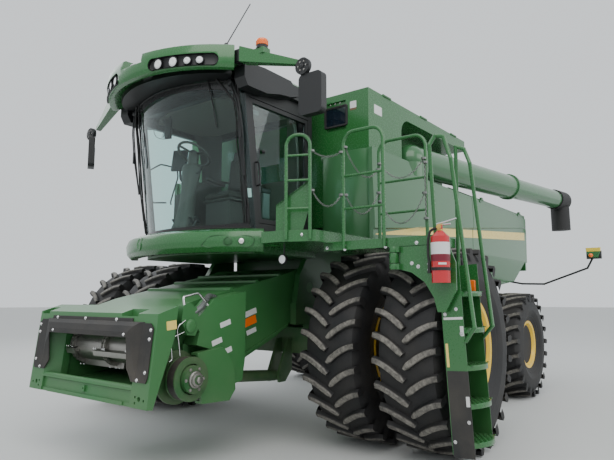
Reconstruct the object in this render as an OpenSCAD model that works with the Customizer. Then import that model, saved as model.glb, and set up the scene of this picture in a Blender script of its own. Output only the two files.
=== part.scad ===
// Combine harvester with dual front wheels, feeder house, cab, grain tank and unloading auger.
// X runs forward, Y to the machine's left and Z up. Lengths are in millimetres.
// Sizes along X are measured from the front axle, and every piece is then moved
// so that the origin lies on the ground under the middle of the whole machine.

/* [Front wheels] */
// Radius of a front tyre over its lugs
front_tyre_r = 1000; // [920:5:1040]
// Width of a front tyre
front_tyre_w = 620; // [560:5:640]
// Middle of the inner front tyre, from the centre line
front_inner_y = 1637; // [1600:1:1670]
// Middle of the outer front tyre, from the centre line
front_outer_y = 2449; // [2420:1:2470]
// Radius of the front rim's bead seat
front_rim_r = 482; // [460:1:500]
// Number of lugs on each side of a front tyre
front_lugs = 20; // [16:1:22]

/* [Rear wheels] */
// Radius of a rear tyre over its lugs
rear_tyre_r = 790; // [740:5:800]
// Width of a rear tyre
rear_tyre_w = 745; // [680:5:760]
// Rear axle behind the front axle
wheelbase = 3600; // [3500:10:3700]
// Middle of a rear tyre, from the centre line
rear_wheel_y = 1880; // [1870:1:1930]
// Radius of the rear rim's bead seat
rear_rim_r = 330; // [320:1:350]
// Number of lugs on each side of a rear tyre
rear_lugs = 16; // [12:1:18]

/* [Tread] */
// Height of a lug above the tyre's carcass
lug_h = 46; // [30:1:55]
// Width of a lug
lug_w = 54; // [40:1:64]
// Angle of a lug from the tyre's axle
lug_angle = 42; // [30:1:50]

/* [Axles] */
// Width of the front axle beam, along the machine
front_beam_w = 260; // [200:5:300]
// Height of the front axle beam
front_beam_h = 300; // [240:5:320]
// Radius of a final drive housing
final_drive_r = 320; // [260:5:340]
// Radius of a front wheel spindle
spindle_r = 110; // [80:1:130]
// Width of the rear axle beam, along the machine
rear_beam_w = 180; // [140:5:220]
// Height of the rear axle beam
rear_beam_h = 220; // [180:5:240]
// Kingpin from the centre line
kingpin_y = 1370; // [1350:1:1380]
// Radius of a kingpin
kingpin_r = 45; // [35:1:55]
// Radius of a rear wheel spindle
rear_spindle_r = 60; // [45:1:70]
// Length of a steering arm
steer_arm = 260; // [220:5:300]
// Radius of the steering rod
steer_rod_r = 32; // [24:1:40]

/* [Main frame] */
// Outer faces of the frame rails, from the centre line
rail_y = 820; // [800:5:840]
// Thickness of a frame rail
rail_t = 80; // [60:5:100]
// Height of a frame rail
rail_h = 240; // [200:5:280]
// Underside of the frame rails above the ground
rail_z = 1200; // [1190:5:1240]
// Half width of the threshing body
thresh_y = 700; // [640:5:720]

/* [Feeder house] */
// Front face of the feeder frame at its foot, ahead of the front axle
feeder_front_x = 2504; // [2460:1:2540]
// Foot of the feeder frame above the ground
feeder_front_z = 600; // [580:1:640]
// Backward lean of the feeder frame
feeder_tilt = 6.6; // [4:0.1:8]
// Half width of the feeder frame
feeder_frame_y = 962; // [940:1:980]
// Height of the feeder frame along its face
feeder_frame_h = 769; // [740:1:790]
// Depth of the feeder frame
feeder_frame_d = 200; // [160:5:220]
// Half width of the feeder house
feeder_y = 690; // [660:5:700]
// Thickness of the feeder house's walls
feeder_t = 30; // [15:1:40]
// Radius of the feeder house's pivot pins
feeder_pin_r = 60; // [45:1:70]
// Radius of a lift cylinder's barrel
lift_barrel_r = 62; // [50:1:72]
// Radius of a lift cylinder's rod
lift_rod_r = 38; // [30:1:45]
// Radius of the header drive pulley
pulley_r = 190; // [160:5:210]

/* [Cab] */
// Half width of the cab
cab_y = 890; // [860:5:910]
// Back of the cab ahead of the front axle
cab_back_x = 210; // [190:5:260]
// Foot of the windscreen's corners ahead of the front axle
cab_front_x = 1180; // [1140:5:1220]
// Top of the cab floor above the ground
cab_floor_z = 2200; // [2180:5:2220]
// Top of the cab's glass above the ground
cab_top_z = 3740; // [3700:5:3780]
// Forward lean of the windscreen
screen_lean = 7.7; // [5:0.1:9]
// Bulge of the windscreen in plan
screen_bulge = 300; // [240:5:340]
// Middle of the steering wheel, ahead of the cab's origin and above the ground
hand_wheel = [1255, 3120];
// Thickness of the glass
glass_t = 8; // [6:1:12]
// Width of a cab pillar
pillar_w = 70; // [50:5:90]
// Height of the cab's upper side rails
top_rail_h = 150; // [120:5:170]
// Thickness of the cab's side frames
pillar_t = 60; // [40:5:70]

/* [Roof] */
// Half width of the roof shell behind the visor
roof_y = 980; // [940:5:1000]
// Radius in plan of the lamp visor across the front of the roof
visor_r = 1450; // [1400:5:1500]
// Front of the visor ahead of the front axle
nose_x = 2130; // [2100:5:2160]
// Angle from the visor's middle to each of its ends
visor_turn = 46.5; // [45:0.5:48]
// Height of the lamp visor's front
visor_h = 250; // [230:5:270]
// Radius of a large work lamp
lamp_r = 50; // [40:1:54]

/* [Platform] */
// Top of the deck beside the cab above the ground
deck_z = 2130; // [2110:5:2150]
// Outer edge of the deck, from the centre line
deck_y = 1720; // [1700:5:1740]
// Top of the ladder's landing above the ground
landing_z = 2060; // [2050:5:2080]
// Outer end of the landing, from the centre line
landing_y = 2770; // [2750:5:2780]
// Rear edge of the landing ahead of the front axle
landing_back_x = 500; // [480:5:520]
// Front edge of the landing ahead of the front axle
landing_front_x = 960; // [940:5:980]
// Height of the deck's edge beams
deck_t = 110; // [90:5:115]
// Radius of a handrail tube
tube_r = 17; // [14:1:20]

/* [Ladder] */
// Front face of the ladder ahead of the front axle
ladder_front_x = 930; // [910:5:950]
// Length of a ladder step
step_l = 420; // [380:5:440]
// Depth of a ladder step's straight part
step_d = 170; // [140:5:190]
// Number of steps
steps = 5; // [4:1:6]
// Height from step to step
step_rise = 300; // [280:5:310]
// Lowest step above the ground
step_first_z = 300; // [280:5:320]

/* [Grain tank] */
// Half width of the grain tank
tank_y = 1540; // [1500:5:1560]
// Length of the grain tank
tank_l = 2900; // [2800:10:3000]
// Rim of the grain tank above the ground
tank_top_z = 3900; // [3860:5:3940]
// Shoulder of the grain tank's hopper above the ground
tank_shoulder_z = 3000; // [2950:5:3050]
// Thickness of the grain tank's walls
tank_t = 40; // [25:1:50]
// Thickness of a tank cover
cover_t = 45; // [30:1:55]
// Radius of the hinge barrels on the covers' outer edges
cover_hinge_r = 16; // [12:1:20]

/* [Side panels] */
// Outer face of the side panels, from the centre line
panel_y = 1690; // [1670:5:1710]
// Thickness of a side panel
panel_t = 50; // [30:1:60]
// Rise of the panels' crease towards the rear
panel_rise = 5.7; // [4:0.1:7]
// Rear edge of the side panels behind the front axle
panel_back_x = 5380; // [5300:5:5420]

/* [Unloading auger] */
// Swing axis behind the front axle
auger_pivot_x = 1150; // [1100:5:1200]
// Swing axis from the centre line
auger_pivot_y = 1480; // [1460:5:1500]
// Outer radius of the auger's tube
auger_r = 200; // [180:2:206]
// Length of the auger's tube from its swing axis
auger_l = 5560; // [5400:10:5640]
// Length of the auger's stouter first part
auger_first_l = 3150; // [2900:10:3300]
// Angle in plan between the stored auger and the machine
auger_splay = 5; // [4:0.1:6]
// Rise of the auger
auger_rise = 2; // [1:0.1:3]
// Middle of the auger above the ground at its swing axis
auger_z = 3300; // [3280:5:3320]

/* [Clearances] */
// Radial clearance of a pin or shaft in its bore
fit_gap = 0.1; // [0.05:0.01:0.1]
// Gap between pieces that are seated on each other
seat_gap = 0.3; // [0.2:0.1:0.5]
// Gap beside a moving panel
run_gap = 10; // [6:1:14]

/* [Hidden] */
$fn = 64;

// Places that follow from the driving sizes
auger_tip_x = -auger_pivot_x - (auger_l + 320) * cos(auger_splay);
mid_x = (feeder_front_x + auger_tip_x) / 2;
rear_x = -wheelbase;
front_axle_z = front_tyre_r;
rear_axle_z = rear_tyre_r;
rail_top_z = rail_z + rail_h;
rail_front_x = 420;
rail_back_x = -5150;
tank_front_x = -20;
tank_back_x = tank_front_x - tank_l;
panel_top_z = tank_shoulder_z + 20;
tank_foot_z = 2340;
spindle_end_y = front_inner_y - front_tyre_w / 2 + 180;
drive_y = spindle_end_y - 260;
front_disc_t = 30;
rim_share = 0.8;

// Feeder house, in the plane of X and Z
pivot_x = 150;
pivot_z = 1620;
pivot_hub_r = 225;
frame_back = feeder_frame_d / cos(feeder_tilt) + seat_gap;
function face_x(z) = feeder_front_x - (z - feeder_front_z) * tan(feeder_tilt);
function back_x(z) = face_x(z) - frame_back;
house_front_z = [feeder_front_z + 45, feeder_front_z + feeder_frame_h - 30];
house_low = [[1440, 752], [600, 1080]];
function house_top(x) = 1842 + (x - 120) * (1490 - 1842) / (1730 - 120);
function house_foot(x) = house_low[0][1] + (house_low[0][0] - x) * (house_low[1][1] - house_low[0][1])
    / (house_low[0][0] - house_low[1][0]);
drum_front = [2125, 1030];
drum_rear = [480, 1440];
drum_r = 150;
pulley_at = [2065, 800];

// Lift cylinders: foot on the axle, eye under the feeder house
lift_y = 430;
lift_foot = [300, 600];
lift_eye = [1350, 690];
lift_angle = atan2(lift_eye[1] - lift_foot[1], lift_eye[0] - lift_foot[0]);
lift_length = norm(lift_eye - lift_foot);
barrel_l = 690;

// Cab
screen_r = (pow(cab_y, 2) + pow(screen_bulge, 2)) / (2 * screen_bulge);
lean = tan(screen_lean);
cab_h = cab_top_z - cab_floor_z;
fascia_turn = 41;
function pillar_x(z) = cab_front_x + (z - cab_floor_z) * lean;

// Ladder and landing
ladder_y = landing_y + 95;
ladder_lean = 3.2;
ladder_pin = [landing_front_x + 45, 2400];
ladder_hub_z = [1800, 1890];
ladder_arm_x = landing_front_x + 5;
ladder_arm_t = 20;
ladder_top_z = 1790;
deck_back_x = 170;
deck_corner = [1390, 1420];
deck_side_x = 1250;

// Moves a piece from the front axle's frame to the machine's frame
module placed() { translate([-mid_x, 0, 0]) children(); }

// Repeats a piece on the other side of the centre line
module both() { children(); mirror([0, 1, 0]) children(); }

// A plate whose outline lies in the plane of X and Z
module side_prism(points, y0, y1) {
    translate([0, y1, 0]) rotate([90, 0, 0]) linear_extrude(y1 - y0) polygon(points);
}

// A plate whose outline lies in the plane of X and Y
module plan_prism(points, z0, z1) {
    translate([0, 0, z0]) linear_extrude(z1 - z0) polygon(points);
}

// A box given by its lowest and highest corners
module block(low, high) { translate(low) cube(high - low); }

// A shaft along Y
module shaft(x, z, y0, y1, r) {
    translate([x, y0, z]) rotate([-90, 0, 0]) cylinder(h = y1 - y0, r = r);
}

// A straight bar between two points
module bar(a, b, r) {
    v = b - a;
    translate(a) rotate([0, acos(v[2] / norm(v)), atan2(v[1], v[0])]) cylinder(h = norm(v), r = r);
}

// A tube through a list of points, with a ball at each bend
module tube_path(points, r) {
    union() {
        for (i = [0:len(points) - 2]) bar(points[i], points[i + 1], r);
        for (i = [1:1:len(points) - 2]) translate(points[i]) sphere(r = r + 1.5);
    }
}

// A hoop in the plane of its own X and Z, its legs w apart and h high
module hoop(w, h, bend, r, rungs) {
    for (x = [0, w]) translate([x, 0, 0]) cylinder(h = h - bend, r = r);
    translate([bend, 0, h]) rotate([0, 90, 0]) cylinder(h = w - 2 * bend, r = r);
    translate([bend, 0, h - bend]) rotate([90, 0, 0]) rotate([0, 0, 90])
        rotate_extrude(angle = 90) translate([bend, 0]) circle(r = r);
    translate([w - bend, 0, h - bend]) rotate([90, 0, 0])
        rotate_extrude(angle = 90) translate([bend, 0]) circle(r = r);
    for (z = rungs) translate([0, 0, z]) rotate([0, 90, 0]) cylinder(h = w, r = r * 0.7);
}

// Tyre section and lugs; the tyre's axle is Z here
module tyre(r, w, rim_r, lugs, hand) {
    crown = r - lug_h;
    half = w / 2;
    side = (crown + rim_r) / 2;
    bead = half * rim_share;
    union() {
        rotate_extrude() polygon([
            [rim_r + seat_gap, -bead + 15], [rim_r + 28, -bead + 15], [rim_r + 28, -bead - 10],
            [rim_r + 75, -half * 0.94], [side, -half], [crown - 90, -half * 0.95],
            [crown - 18, -half * 0.76], [crown, 0], [crown - 18, half * 0.76],
            [crown - 90, half * 0.95], [side, half], [rim_r + 75, half * 0.94],
            [rim_r + 28, bead + 10], [rim_r + 28, bead - 15], [rim_r + seat_gap, bead - 15]]);
        for (i = [0:lugs - 1], row = [-1, 1])
            rotate([0, 0, (i + row / 4) * 360 / lugs]) lug(r, half, row, hand);
    }
}

// One lug from the middle of the tread down the shoulder
module lug(r, half, row, hand) {
    run = half / cos(lug_angle);
    edge = lug_w / 2;
    function top(s) = sqrt(pow(r, 2) - pow(run * s * sin(lug_angle) + edge, 2));
    rotate([row * hand * lug_angle, 0, 0]) mirror([0, 0, row < 0 ? 1 : 0])
        translate([0, edge, -10]) rotate([90, 0, 0]) linear_extrude(lug_w)
            polygon([[top(0) - lug_h - 40, 0], [top(0), 0], [top(0.6), run * 0.6],
                [top(0.82) - 10, run * 0.82], [top(0.97) - 70, run * 0.97],
                [top(0.92) - lug_h - 80, run * 0.92], [top(0.6) - lug_h - 50, run * 0.6]]);
}

// Rim section with lips, a well and a dished disc; the axle is Z
module rim(rim_r, w, disc_z, disc_r) {
    half = w / 2 * rim_share;
    rotate_extrude() polygon([
        [rim_r - 60, -half + 60], [rim_r - 12, -half], [rim_r + 26, -half - 6], [rim_r + 26, -half + 8],
        [rim_r, -half + 14], [rim_r, -half + 50], [rim_r - 30, -half + 110], [rim_r - 30, half - 110],
        [rim_r, half - 50], [rim_r, half - 14], [rim_r + 26, half - 8], [rim_r + 26, half + 6],
        [rim_r - 12, half], [rim_r - 60, half - 60]]);
    t = front_disc_t;
    difference() {
        rotate_extrude() polygon([
            [disc_r, disc_z], [rim_r * 0.55, disc_z], [rim_r * 0.66, disc_z + 55], [rim_r - 59, disc_z + 70],
            [rim_r - 59, disc_z + 70 + t], [rim_r * 0.62, disc_z + 55 + t], [rim_r * 0.52, disc_z + t],
            [disc_r, disc_z + t]]);
        for (a = [0:60:300]) rotate([0, 0, a]) translate([rim_r * 0.74, 0, disc_z - 5])
            cylinder(h = 150, r = rim_r * 0.055);
    }
}

// Stands a piece made around Z with its axle along Y
module wheel_at(x, y, z) { translate([x, y, z]) rotate([-90, 0, 0]) children(); }

// Chassis

module main_frame() placed() color("#235c2c") {
    difference() {
        union() {
            both() block([rail_back_x, rail_y - rail_t, rail_z], [rail_front_x, rail_y, rail_top_z]);
            block([rail_back_x + 60, -rail_y + rail_t - 1, rail_z],
                [rail_back_x + 140, rail_y - rail_t + 1, rail_z + 90]);
            both() side_prism([[-150, rail_top_z], [rail_front_x - 20, rail_top_z],
                [330, pivot_z + 150], [150, 2040], [-150, 2040]],
                rail_y - rail_t, rail_y - 10);
        }
        shaft(pivot_x, pivot_z, -rail_y - 5, rail_y + 5, feeder_pin_r + fit_gap);
    }
}

module front_axle() placed() color("#1d4d26") {
    b = front_beam_w / 2;
    h = front_beam_h / 2;
    difference() {
        union() {
            block([-b, -drive_y, front_axle_z - h], [b, drive_y, front_axle_z + h]);
            both() wheel_at(0, drive_y, front_axle_z) cylinder(h = 200, r1 = final_drive_r,
                r2 = final_drive_r - 60);
            both() wheel_at(0, drive_y + 200, front_axle_z)
                cylinder(h = spindle_end_y - drive_y - 200, r = spindle_r);
            both() block([-b, rail_y - rail_t - 40, front_axle_z + h], [b, rail_y + 20, rail_z - seat_gap]);
            both() side_prism([[b - 10, front_axle_z - h], [b - 10, lift_foot[1] + 60],
                [lift_foot[0] - 60, lift_foot[1] - 70], [lift_foot[0] + 50, lift_foot[1] - 70],
                [lift_foot[0] + 50, lift_foot[1] + 60], [b + 60, front_axle_z + 20],
                    [b - 10, front_axle_z + 20]],
                lift_y + 62, lift_y + 92);
            both() side_prism([[b - 10, front_axle_z - h], [b - 10, lift_foot[1] + 60],
                [lift_foot[0] - 60, lift_foot[1] - 70], [lift_foot[0] + 50, lift_foot[1] - 70],
                [lift_foot[0] + 50, lift_foot[1] + 60], [b + 60, front_axle_z + 20],
                    [b - 10, front_axle_z + 20]],
                lift_y - 92, lift_y - 62);
        }
        shaft(lift_foot[0], lift_foot[1], -lift_y - 120, lift_y + 120, 30 + fit_gap);
    }
}

module rear_axle() placed() color("#1d4d26") {
    b = rear_beam_w / 2;
    h = rear_beam_h / 2;
    difference() {
        union() {
            block([rear_x - b, -kingpin_y + 120, rear_axle_z - h + 60],
                [rear_x + b, kingpin_y - 120, rear_axle_z + h + 60]);
            both() block([rear_x - b, kingpin_y - 125, rear_axle_z - 60],
                [rear_x + b, kingpin_y - 60, rear_axle_z + 170]);
            both() translate([rear_x, kingpin_y, rear_axle_z - 60]) cylinder(h = 230, r = 75);
            both() block([rear_x - 45, kingpin_y - 100, rear_axle_z - 60],
                [rear_x + 45, kingpin_y, rear_axle_z + 170]);
            block([rear_x - 150, -200, rear_axle_z + h + 60], [rear_x + 150, 200, rail_z - seat_gap]);
            block([rear_x - 60, -rail_y, rail_z - 60], [rear_x + 60, rail_y, rail_z - seat_gap]);
            both() block([rear_x - steer_arm - 45, 280, rear_axle_z - 20],
                [rear_x - b + 5, 340, rear_axle_z + 60]);
            translate([rear_x - steer_arm, 340, rear_axle_z]) rotate([90, 0, 0]) cylinder(h = 680, r = 52);
        }
        both() translate([rear_x, kingpin_y, rear_axle_z - 90]) cylinder(h = 300, r = kingpin_r + fit_gap);
        translate([rear_x - steer_arm, 400, rear_axle_z]) rotate([90, 0, 0])
            cylinder(h = 800, r = steer_rod_r + fit_gap);
    }
}

module threshing_body() placed() color("#2b6b35") {
    side_prism([[-160, 1500], [-160, 2100], [-400, tank_foot_z - 10], [-4550, tank_foot_z - 10],
        [-5050, 2000], [-5050, 1320], [rear_x - 600, 1180], [rear_x - 350, 1215], [rear_x + 300, 1215],
        [rear_x + 500, 1060],
        [-1900, 900], [-1500, 1060], [-900, 880], [-420, 900], [-330, 1300]],
        -thresh_y, thresh_y);
    both() for (x = [-4700, -2900, -900])
        block([x, thresh_y - 1, rail_z + 60], [x + 200, rail_y - rail_t - seat_gap, rail_z + 180]);
}

module engine_block() placed() color("#4a4d4f") {
    block([-4450, -480, tank_foot_z - 10 + seat_gap], [-3250, 480, 3060]);
}

// Cross-section of the rear deck, which leans in above the side panels
module deck_section(wall, edge, top)
    translate([-7000, 0, 0]) rotate([90, 0, 90]) linear_extrude(7000)
        polygon([[-edge + wall, 1000], [edge - wall, 1000], [edge - wall, panel_top_z + 20],
            [1250 - wall, top - wall], [-1250 + wall, top - wall], [-edge + wall, panel_top_z + 20]]);

module rear_body() placed() color("#2f7a3b") {
    top = 3190;
    back = -panel_back_x;
    edge = panel_y - 20;
    difference() {
        intersection() {
            side_prism([[tank_back_x - 12, panel_top_z + run_gap], [tank_back_x - 12, top + 60],
                [-4300, top + 50],
                [back + 150, top], [back - 60, top - 90], [back - 160, 2700], [back - 120, 2150],
                [back - run_gap, 2150], [back - run_gap, panel_top_z + run_gap]], -edge, edge);
            deck_section(0, edge, top + 60);
        }
        intersection() {
            side_prism([[tank_back_x - 60, 2100], [tank_back_x - 60, top], [-4300, top - 10],
                [back + 170, top - 60], [back - 10, top - 130], [back - 100, 2700], [back - 65, 2100]],
                -edge + 50, edge - 50);
            deck_section(50, edge, top + 60);
        }
    }
    both() block([back - 60, thresh_y - 40, 2000], [back - run_gap, edge, 2160]);
    both() block([-5040, thresh_y + seat_gap, 2000], [back - 20, thresh_y + 90, 2100]);
    flat_knuckles(true);
}

module chopper() placed() color("#235c2c") {
    difference() {
        side_prism([[-5050 - seat_gap, 1960], [-5480, 1960], [-5620, 1640], [-5560, 1180],
            [-5050 - seat_gap, 1330]], -thresh_y, thresh_y);
        side_prism([[-5110, 1900], [-5440, 1900], [-5570, 1640], [-5520, 1100],
            [-5110, 1100]], -thresh_y + 30, thresh_y - 30);
    }
    // Bearings of the spreader discs hang from this cross plate
    difference() {
        block([-5480, -thresh_y + 30, 1560], [-5100, thresh_y - 30, 1600]);
        both() translate([-5315, 330, 1500]) cylinder(h = 200, r = 40 + fit_gap);
    }
}

// Ledge along the tank's left side where the unloading auger lies
ledge_y = auger_pivot_y - 330;
ledge_z = [tank_shoulder_z + 40, tank_top_z - 120];
ledge_front_x = -auger_pivot_x + 330;
auger_pin_r = 50;

module tank_section(wall) {
    foot_y = 1000 - wall;
    translate([tank_back_x + wall, 0, 0]) rotate([90, 0, 90]) linear_extrude(tank_l - 2 * wall)
        polygon([[-foot_y, tank_foot_z + wall], [foot_y, tank_foot_z + wall],
            [tank_y - wall, tank_shoulder_z], [tank_y - wall, tank_top_z + wall / 4],
            [-tank_y + wall, tank_top_z + wall / 4], [-tank_y + wall, tank_shoulder_z]]);
}

module grain_tank() placed() color("#347f40") {
    difference() {
        tank_section(0);
        difference() {
            tank_section(tank_t);
            block([tank_back_x, ledge_y - tank_t, ledge_z[0] - tank_t],
                [ledge_front_x + tank_t, tank_y, ledge_z[1] + tank_t]);
        }
        block([tank_back_x - 10, ledge_y, ledge_z[0]], [ledge_front_x - 200, tank_y + 10, ledge_z[1]]);
        translate([ledge_front_x - 200, 0, ledge_z[1] - 200]) rotate([-90, 0, 0]) translate([0, 0, ledge_y])
            cylinder(h = tank_y + 10 - ledge_y, r = 200);
        block([ledge_front_x - 201, ledge_y, ledge_z[0]], [ledge_front_x, tank_y + 10, ledge_z[1] - 200]);
        // Recess of the front window
        block([tank_front_x - 25, 945, 3500], [tank_front_x + 5, 1225, 3860]);
        translate([-auger_pivot_x, auger_pivot_y, ledge_z[0] - tank_t - 10])
            cylinder(h = tank_t + 20, r = auger_pin_r + fit_gap);
    }
}

// Outline of the fixed front side panel
panel_split_x = -2740;
panel_front_x = deck_back_x - run_gap;
wing_top_z = panel_top_z + 150;
panel_front = [[panel_front_x, 2060], [panel_front_x, wing_top_z], [-700, wing_top_z], [-850, panel_top_z],
    [panel_split_x, panel_top_z], [panel_split_x, 1900], [-1500, 2060]];
crease_z = 2255;
crease_out = 22;
chamfer_z = 2170;
chamfer_in = 70;

// A panel of the given side outline: the field above the rising crease stands proud, and the foot leans in
module panel_skin(outline) {
    inner = panel_y - panel_t;
    intersection() {
        side_prism(outline, inner - chamfer_in - 5, panel_y + 30);
        union() {
            translate([-6000, 0, 0]) rotate([90, 0, 90]) linear_extrude(6500)
                polygon([[inner, 3300], [panel_y, 3300], [panel_y, chamfer_z],
                    [panel_y - chamfer_in, chamfer_z - 480],
                    [inner - chamfer_in, chamfer_z - 480], [inner, chamfer_z]]);
            intersection() {
                translate([0, 0, crease_z]) rotate([0, panel_rise, 0]) translate([-6000, 0, 0])
                    rotate([90, 0, 90]) linear_extrude(6500)
                    polygon([[panel_y - 5, 0], [panel_y, 0], [panel_y + crease_out, 14],
                        [panel_y + crease_out, 120], [panel_y, 700], [panel_y - 5, 700]]);
                block([-6000, 0, 2000], [500, 2000, panel_top_z - 50]);
            }
        }
    }
}

// Strips that carry a fixed front side panel
module panel_strips() {
    block([-2500, tank_y + seat_gap, tank_shoulder_z + 3], [-100, panel_y - panel_t + 1, panel_top_z - 3]);
    block([-2500, thresh_y + seat_gap, 2180], [-300, panel_y - panel_t + 1, 2210]);
}

// Wall that closes the space between the cab's back and the front edge of a side panel
module wing_wall() {
    wall_y = cab_y + 50;
    bulge_r = 1400;
    difference() {
        intersection() {
            block([panel_front_x - 120, wall_y, 2060], [panel_front_x, panel_y - 1, wing_top_z]);
            translate([panel_front_x - bulge_r, (wall_y + panel_y) / 2 + 60, 2000]) cylinder(h = 1400,
                r = bulge_r, $fn = 120);
        }
        block([panel_front_x - 125, wall_y - 1, 2000], [panel_front_x - 60, panel_y - panel_t,
            wing_top_z - 60]);
    }
}

module side_panel_left() placed() color("#3b8a48") {
    panel_skin(panel_front);
    wing_wall();
    panel_strips();
}

module side_panel_right() placed() color("#3b8a48") mirror([0, 1, 0]) {
    panel_skin(panel_front);
    wing_wall();
    panel_skin([[-4480, 1600], [-4480, panel_top_z], [-panel_back_x, panel_top_z], [-panel_back_x, 2200],
        [-4800, 1790]]);
    panel_strips();
    block([-5000, thresh_y + seat_gap, 1900], [-4520, panel_y - panel_t + 1, 1930]);
    upright_knuckles(true);
}

// Hinge knuckles of the panels: one half is on the fixed side, the other on the door
hinge_r = 12;
module upright_knuckles(fixed) {
    hinge_y = panel_y + crease_out + hinge_r;
    for (z = [2050, 2800]) translate([0, 0, z + (fixed ? 0 : 40 + seat_gap)]) {
        translate([panel_split_x - run_gap / 2, hinge_y, 0]) cylinder(h = 40, r = hinge_r);
        block([panel_split_x - run_gap / 2 + (fixed ? 0 : -40), panel_y - 1, 0],
            [panel_split_x - run_gap / 2 + (fixed ? 40 : 0), hinge_y, 40]);
    }
}
module flat_knuckles(fixed) {
    for (x = [-panel_back_x + 280, tank_back_x - 280]) translate([x + (fixed ? 0 : 60 + seat_gap),
        0, panel_top_z + run_gap / 2]) {
        translate([0, panel_y + hinge_r, 0]) rotate([0, 90, 0]) cylinder(h = 60, r = hinge_r);
        block([0, panel_y - (fixed ? 21 : 1), fixed ? 0 : -40], [60, panel_y + hinge_r, fixed ? 40 : 0]);
    }
}

module side_door_left() placed() color("#3b8a48") {
    panel_skin([[panel_split_x - run_gap, 1900], [panel_split_x - run_gap, panel_top_z],
        [-panel_back_x + 5, panel_top_z], [-panel_back_x + 5, 2200], [-4800, 1790], [-3970, 1700],
        [-3300, 1800]]);
    flat_knuckles(false);
}

module cooling_door() placed() color("#3b8a48") mirror([0, 1, 0]) {
    difference() {
        panel_skin([[panel_split_x - run_gap, 1900], [panel_split_x - run_gap, panel_top_z],
            [-4480 + run_gap, panel_top_z], [-4480 + run_gap, 1745], [-3970, 1700], [-3300, 1800]]);
        shaft(-3610, 2440, panel_y - 100, panel_y + 40, 530);
    }
    block([-4150, panel_y - panel_t - 70, 2410], [-3070, panel_y - panel_t, 2470]);
    block([-3640, panel_y - panel_t - 70, 1900], [-3580, panel_y - panel_t, 2980]);
    upright_knuckles(false);
}

module rotary_screen() placed() color("#2a2d2e") mirror([0, 1, 0]) {
    difference() {
        shaft(-3610, 2440, panel_y - panel_t + 6, panel_y + 60, 522);
        shaft(-3610, 2440, panel_y - panel_t + 5, panel_y + 48, 510);
    }
    shaft(-3610, 2440, panel_y - panel_t + seat_gap, panel_y + 50, 60);
}

// Cab

function cab_side(inset, drop) = [
    [cab_back_x + inset, cab_floor_z + inset], [pillar_x(cab_floor_z + inset) - inset, cab_floor_z + inset],
    [pillar_x(cab_top_z - drop) - inset, cab_top_z - drop], [cab_back_x + inset, cab_top_z - drop]];

module door_knuckles(fixed) {
    for (z = [cab_floor_z + 250, cab_top_z - 450]) translate([0, 0, z + (fixed ? 0 : 50 + seat_gap)]) {
        translate([cab_back_x + pillar_w + 3, cab_y + hinge_r, 0]) cylinder(h = 50, r = hinge_r);
        block([cab_back_x + pillar_w + 3 + (fixed ? -40 : 0), cab_y - 6, 0],
            [cab_back_x + pillar_w + 3 + (fixed ? 0 : 40), cab_y + hinge_r, 50]);
    }
}

module cab_frame() placed() color("#1b1e1f") {
    door_knuckles(true);
    difference() {
        union() {
            both() difference() {
                side_prism(cab_side(0, 0), cab_y - pillar_t, cab_y);
                side_prism(cab_side(pillar_w, top_rail_h), cab_y - pillar_t - 5, cab_y + 5);
            }
            block([cab_back_x, -cab_y + pillar_t, cab_floor_z], [cab_back_x + pillar_w, cab_y - pillar_t,
                cab_top_z]);
            translate([pillar_x(cab_top_z) - 80, -cab_y + pillar_t, cab_top_z - 70])
                cube([80, 2 * (cab_y - pillar_t), 70]);
        }
        block([cab_back_x - 5, -cab_y + 180, cab_floor_z + 700],
            [cab_back_x + pillar_w + 5, cab_y - 180, cab_top_z - 140]);
    }
}

// A curved pane that leans forward; grow widens it for the frame's recess
module screen_shape(t) {
    $fn = 200;
    difference() {
        translate([screen_x, 0, cab_floor_z]) rotate([0, screen_lean, 0])
            translate([0, 0, -400]) difference() {
                cylinder(h = cab_h + 800, r = screen_r);
                translate([0, 0, -1]) cylinder(h = cab_h + 802, r = screen_r - t);
            }
        block([-3000, -3000, cab_top_z], [4000, 3000, 6000]);
        block([-3000, -3000, 0], [4000, 3000, cab_floor_z + seat_gap]);
        side_prism([[-3000, 1000], [pillar_x(1000) + seat_gap, 1000], [pillar_x(5000) + seat_gap, 5000],
            [-3000, 5000]],
            -2000, 2000);
    }
}

module cab_glass() placed() color([0.35, 0.45, 0.45, 0.4]) {
    screen_shape(glass_t);
    mirror([0, 1, 0]) side_prism(cab_side(pillar_w + seat_gap, top_rail_h + seat_gap),
        cab_y - 30, cab_y - 30 + glass_t);
    block([cab_back_x + 20, -cab_y + 180 + seat_gap, cab_floor_z + 700 + seat_gap],
        [cab_back_x + 20 + glass_t, cab_y - 180 - seat_gap, cab_top_z - 140 - seat_gap]);
}

module cab_door() placed() color("#1b1e1f") {
    g = 6;
    difference() {
        side_prism(cab_side(pillar_w + g, top_rail_h + g), cab_y - pillar_t + 5, cab_y - 5);
        side_prism(cab_side(pillar_w + g + 45, top_rail_h + g + 45), cab_y - pillar_t, cab_y);
    }
    door_knuckles(false);
    // Handle loop on the front stile
    handle_x = pillar_x(cab_floor_z + 520) - pillar_w - g - 22;
    tube_path([[handle_x, cab_y - 8, cab_floor_z + 460], [handle_x, cab_y + 38, cab_floor_z + 470],
        [handle_x + 22, cab_y + 38, cab_floor_z + 700], [handle_x + 24, cab_y - 8, cab_floor_z + 712]], 9);
}

module door_glass() placed() color([0.35, 0.45, 0.45, 0.4])
    side_prism(cab_side(pillar_w + 51 + seat_gap, top_rail_h + 51 + seat_gap),
        cab_y - 34, cab_y - 34 + glass_t);

// Centre of the windscreen's arc in plan
screen_x = cab_front_x + screen_bulge - screen_r;

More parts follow.
